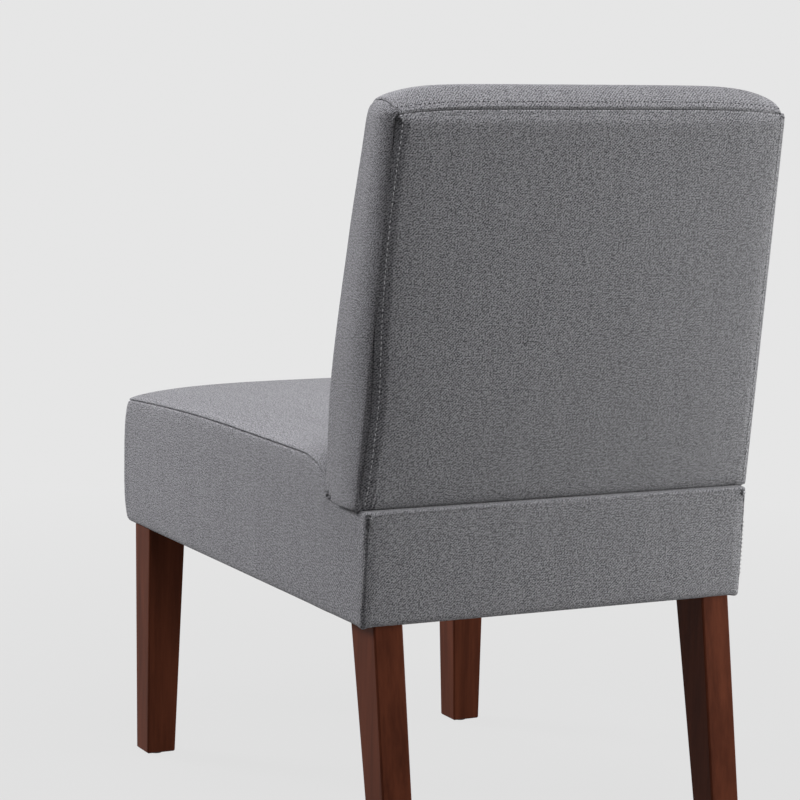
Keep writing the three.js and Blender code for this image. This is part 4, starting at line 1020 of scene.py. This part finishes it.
light_thread = make_thread("light_thread", (0.5, 0.5, 0.51, 1), (0.75, 0.75, 0.76, 1))
# The near-black beads of the top row are painted shade: they stand for the shadow in the dimples where the stitches
# sink in.
hole_shade_thread = make_thread("painted_hole_shade", (0.015, 0.015, 0.017, 1), (0.05, 0.05, 0.055, 1))
top_row = line_beside(back_front_surface, "v high", 7.5, (0.03, 0.97), 0.1)
corner_rows = [line_beside(side_wall(side), "u high", 1.5, (0.11, 0.27), 0.1 * side) for side in (1, -1)]
sew("groove_stitches", [groove_line(1), groove_line(-1)], light_thread, stitch=3.8, pitch=5.8, thread=1.2)
# The top row gets painted shade, not thread: dark beads in the place of the shadowed dimples.
sew("top_row_painted_shade", [top_row], hole_shade_thread, stitch=2.4, pitch=5.2, thread=1.3)
sew("corner_stitches", corner_rows, light_thread, stitch=3.2, pitch=4.8, thread=0.8)

# %% [markdown]
# ## Wood
# The legs are mahogany with a satin lacquer, and the hidden frame is bare softwood. A photograph of wood
# could be wrapped round a leg. Noise stretched along the height, in object coordinates, runs through all
# faces like real grain.

# %% Legs and frame
def make_wood(name, dark, light, stretch, rough, coat):
    material, tree = new_tree(name)
    mapped = stretched(tree, own_place(tree), stretch)
    grain, pores = noise(tree, mapped, 1.0, 6.0, 0.62), noise(tree, mapped, 5.5)
    blend = math_node(tree, "MULTIPLY_ADD", pores, 0.3, math_node(tree, "MULTIPLY_ADD", grain, 1.3, -0.3), clamp=True)
    end_finish(tree, mix_colours(tree, blend, dark, light), grain, 0.12, 0.0003, {
        "Roughness": rough, "Specular IOR Level": 0.04, "Coat Weight": coat, "Coat Roughness": 0.35, "Coat IOR": 1.3})
    return material


mahogany = make_wood("mahogany", (0.040, 0.010, 0.005, 1), (0.17, 0.048, 0.023, 1), (60, 60, 4), 0.45, 0.02)
frame_wood = make_wood("frame_wood", (0.42, 0.27, 0.13, 1), (0.66, 0.47, 0.26, 1), (40, 40, 5), 0.8, 0.0)

# %% [markdown]
# ## Steel, nylon and hidden padding
# The bolts are zinc plated, the springs oiled steel and the glides moulded nylon. Most of it is hidden, so
# two close tones in a fine speckle and a light relief are enough for each.

# %% Steel, nylon and strap finishes
def make_plain(name, dark, light, scale, rough, metal, relief):
    material, tree = new_tree(name)
    speckle = noise(tree, own_place(tree), scale, 3.0)
    end_finish(tree, mix_colours(tree, speckle, dark, light), speckle, relief, 0.0002, {
        "Roughness": rough, "Metallic": metal})
    return material


# Slot, dark and light tone, waves per metre, roughness, metal and relief
PLAIN_FINISHES = [
    ("zinc_steel", (0.36, 0.38, 0.4, 1), (0.58, 0.6, 0.62, 1), 300, 0.38, 1.0, 0.2),
    ("spring_steel", (0.06, 0.06, 0.07, 1), (0.13, 0.13, 0.14, 1), 200, 0.45, 1.0, 0.2),
    ("nylon", (0.018, 0.015, 0.013, 1), (0.03, 0.026, 0.023, 1), 400, 0.5, 0.0, 0.3),
    ("webbing", (0.18, 0.14, 0.08, 1), (0.34, 0.28, 0.18, 1), 900, 0.9, 0.0, 0.8),
    ("black_cloth", (0.012, 0.012, 0.014, 1), (0.035, 0.035, 0.04, 1), 900, 0.95, 0.0, 0.6),
    ("foam", (0.7, 0.64, 0.46, 1), (0.86, 0.8, 0.62, 1), 700, 0.95, 0.0, 0.6),
    ("wadding", (0.76, 0.76, 0.74, 1), (0.87, 0.87, 0.86, 1), 500, 1.0, 0.0, 0.8)]
FINISHES = {"mahogany": mahogany, "frame_wood": frame_wood}
for slot, *values in PLAIN_FINISHES:
    FINISHES[slot] = make_plain("black_cloth_plain" if slot == "black_cloth" else slot, *values)
SLOT_OF = {row["node"]: row["material_slot"] for row in frame["record"]["subparts"]}
for name in frame["nodes"]:
    part, finish = bpy.data.objects.get(name), FINISHES.get(SLOT_OF.get(name))
    if part is None or part.type != "MESH" or finish is None:
        continue
    if part.material_slots:
        part.material_slots[0].material = finish
    else:
        part.data.materials.append(finish)
print("finishes for", len(SLOT_OF), "nodes")
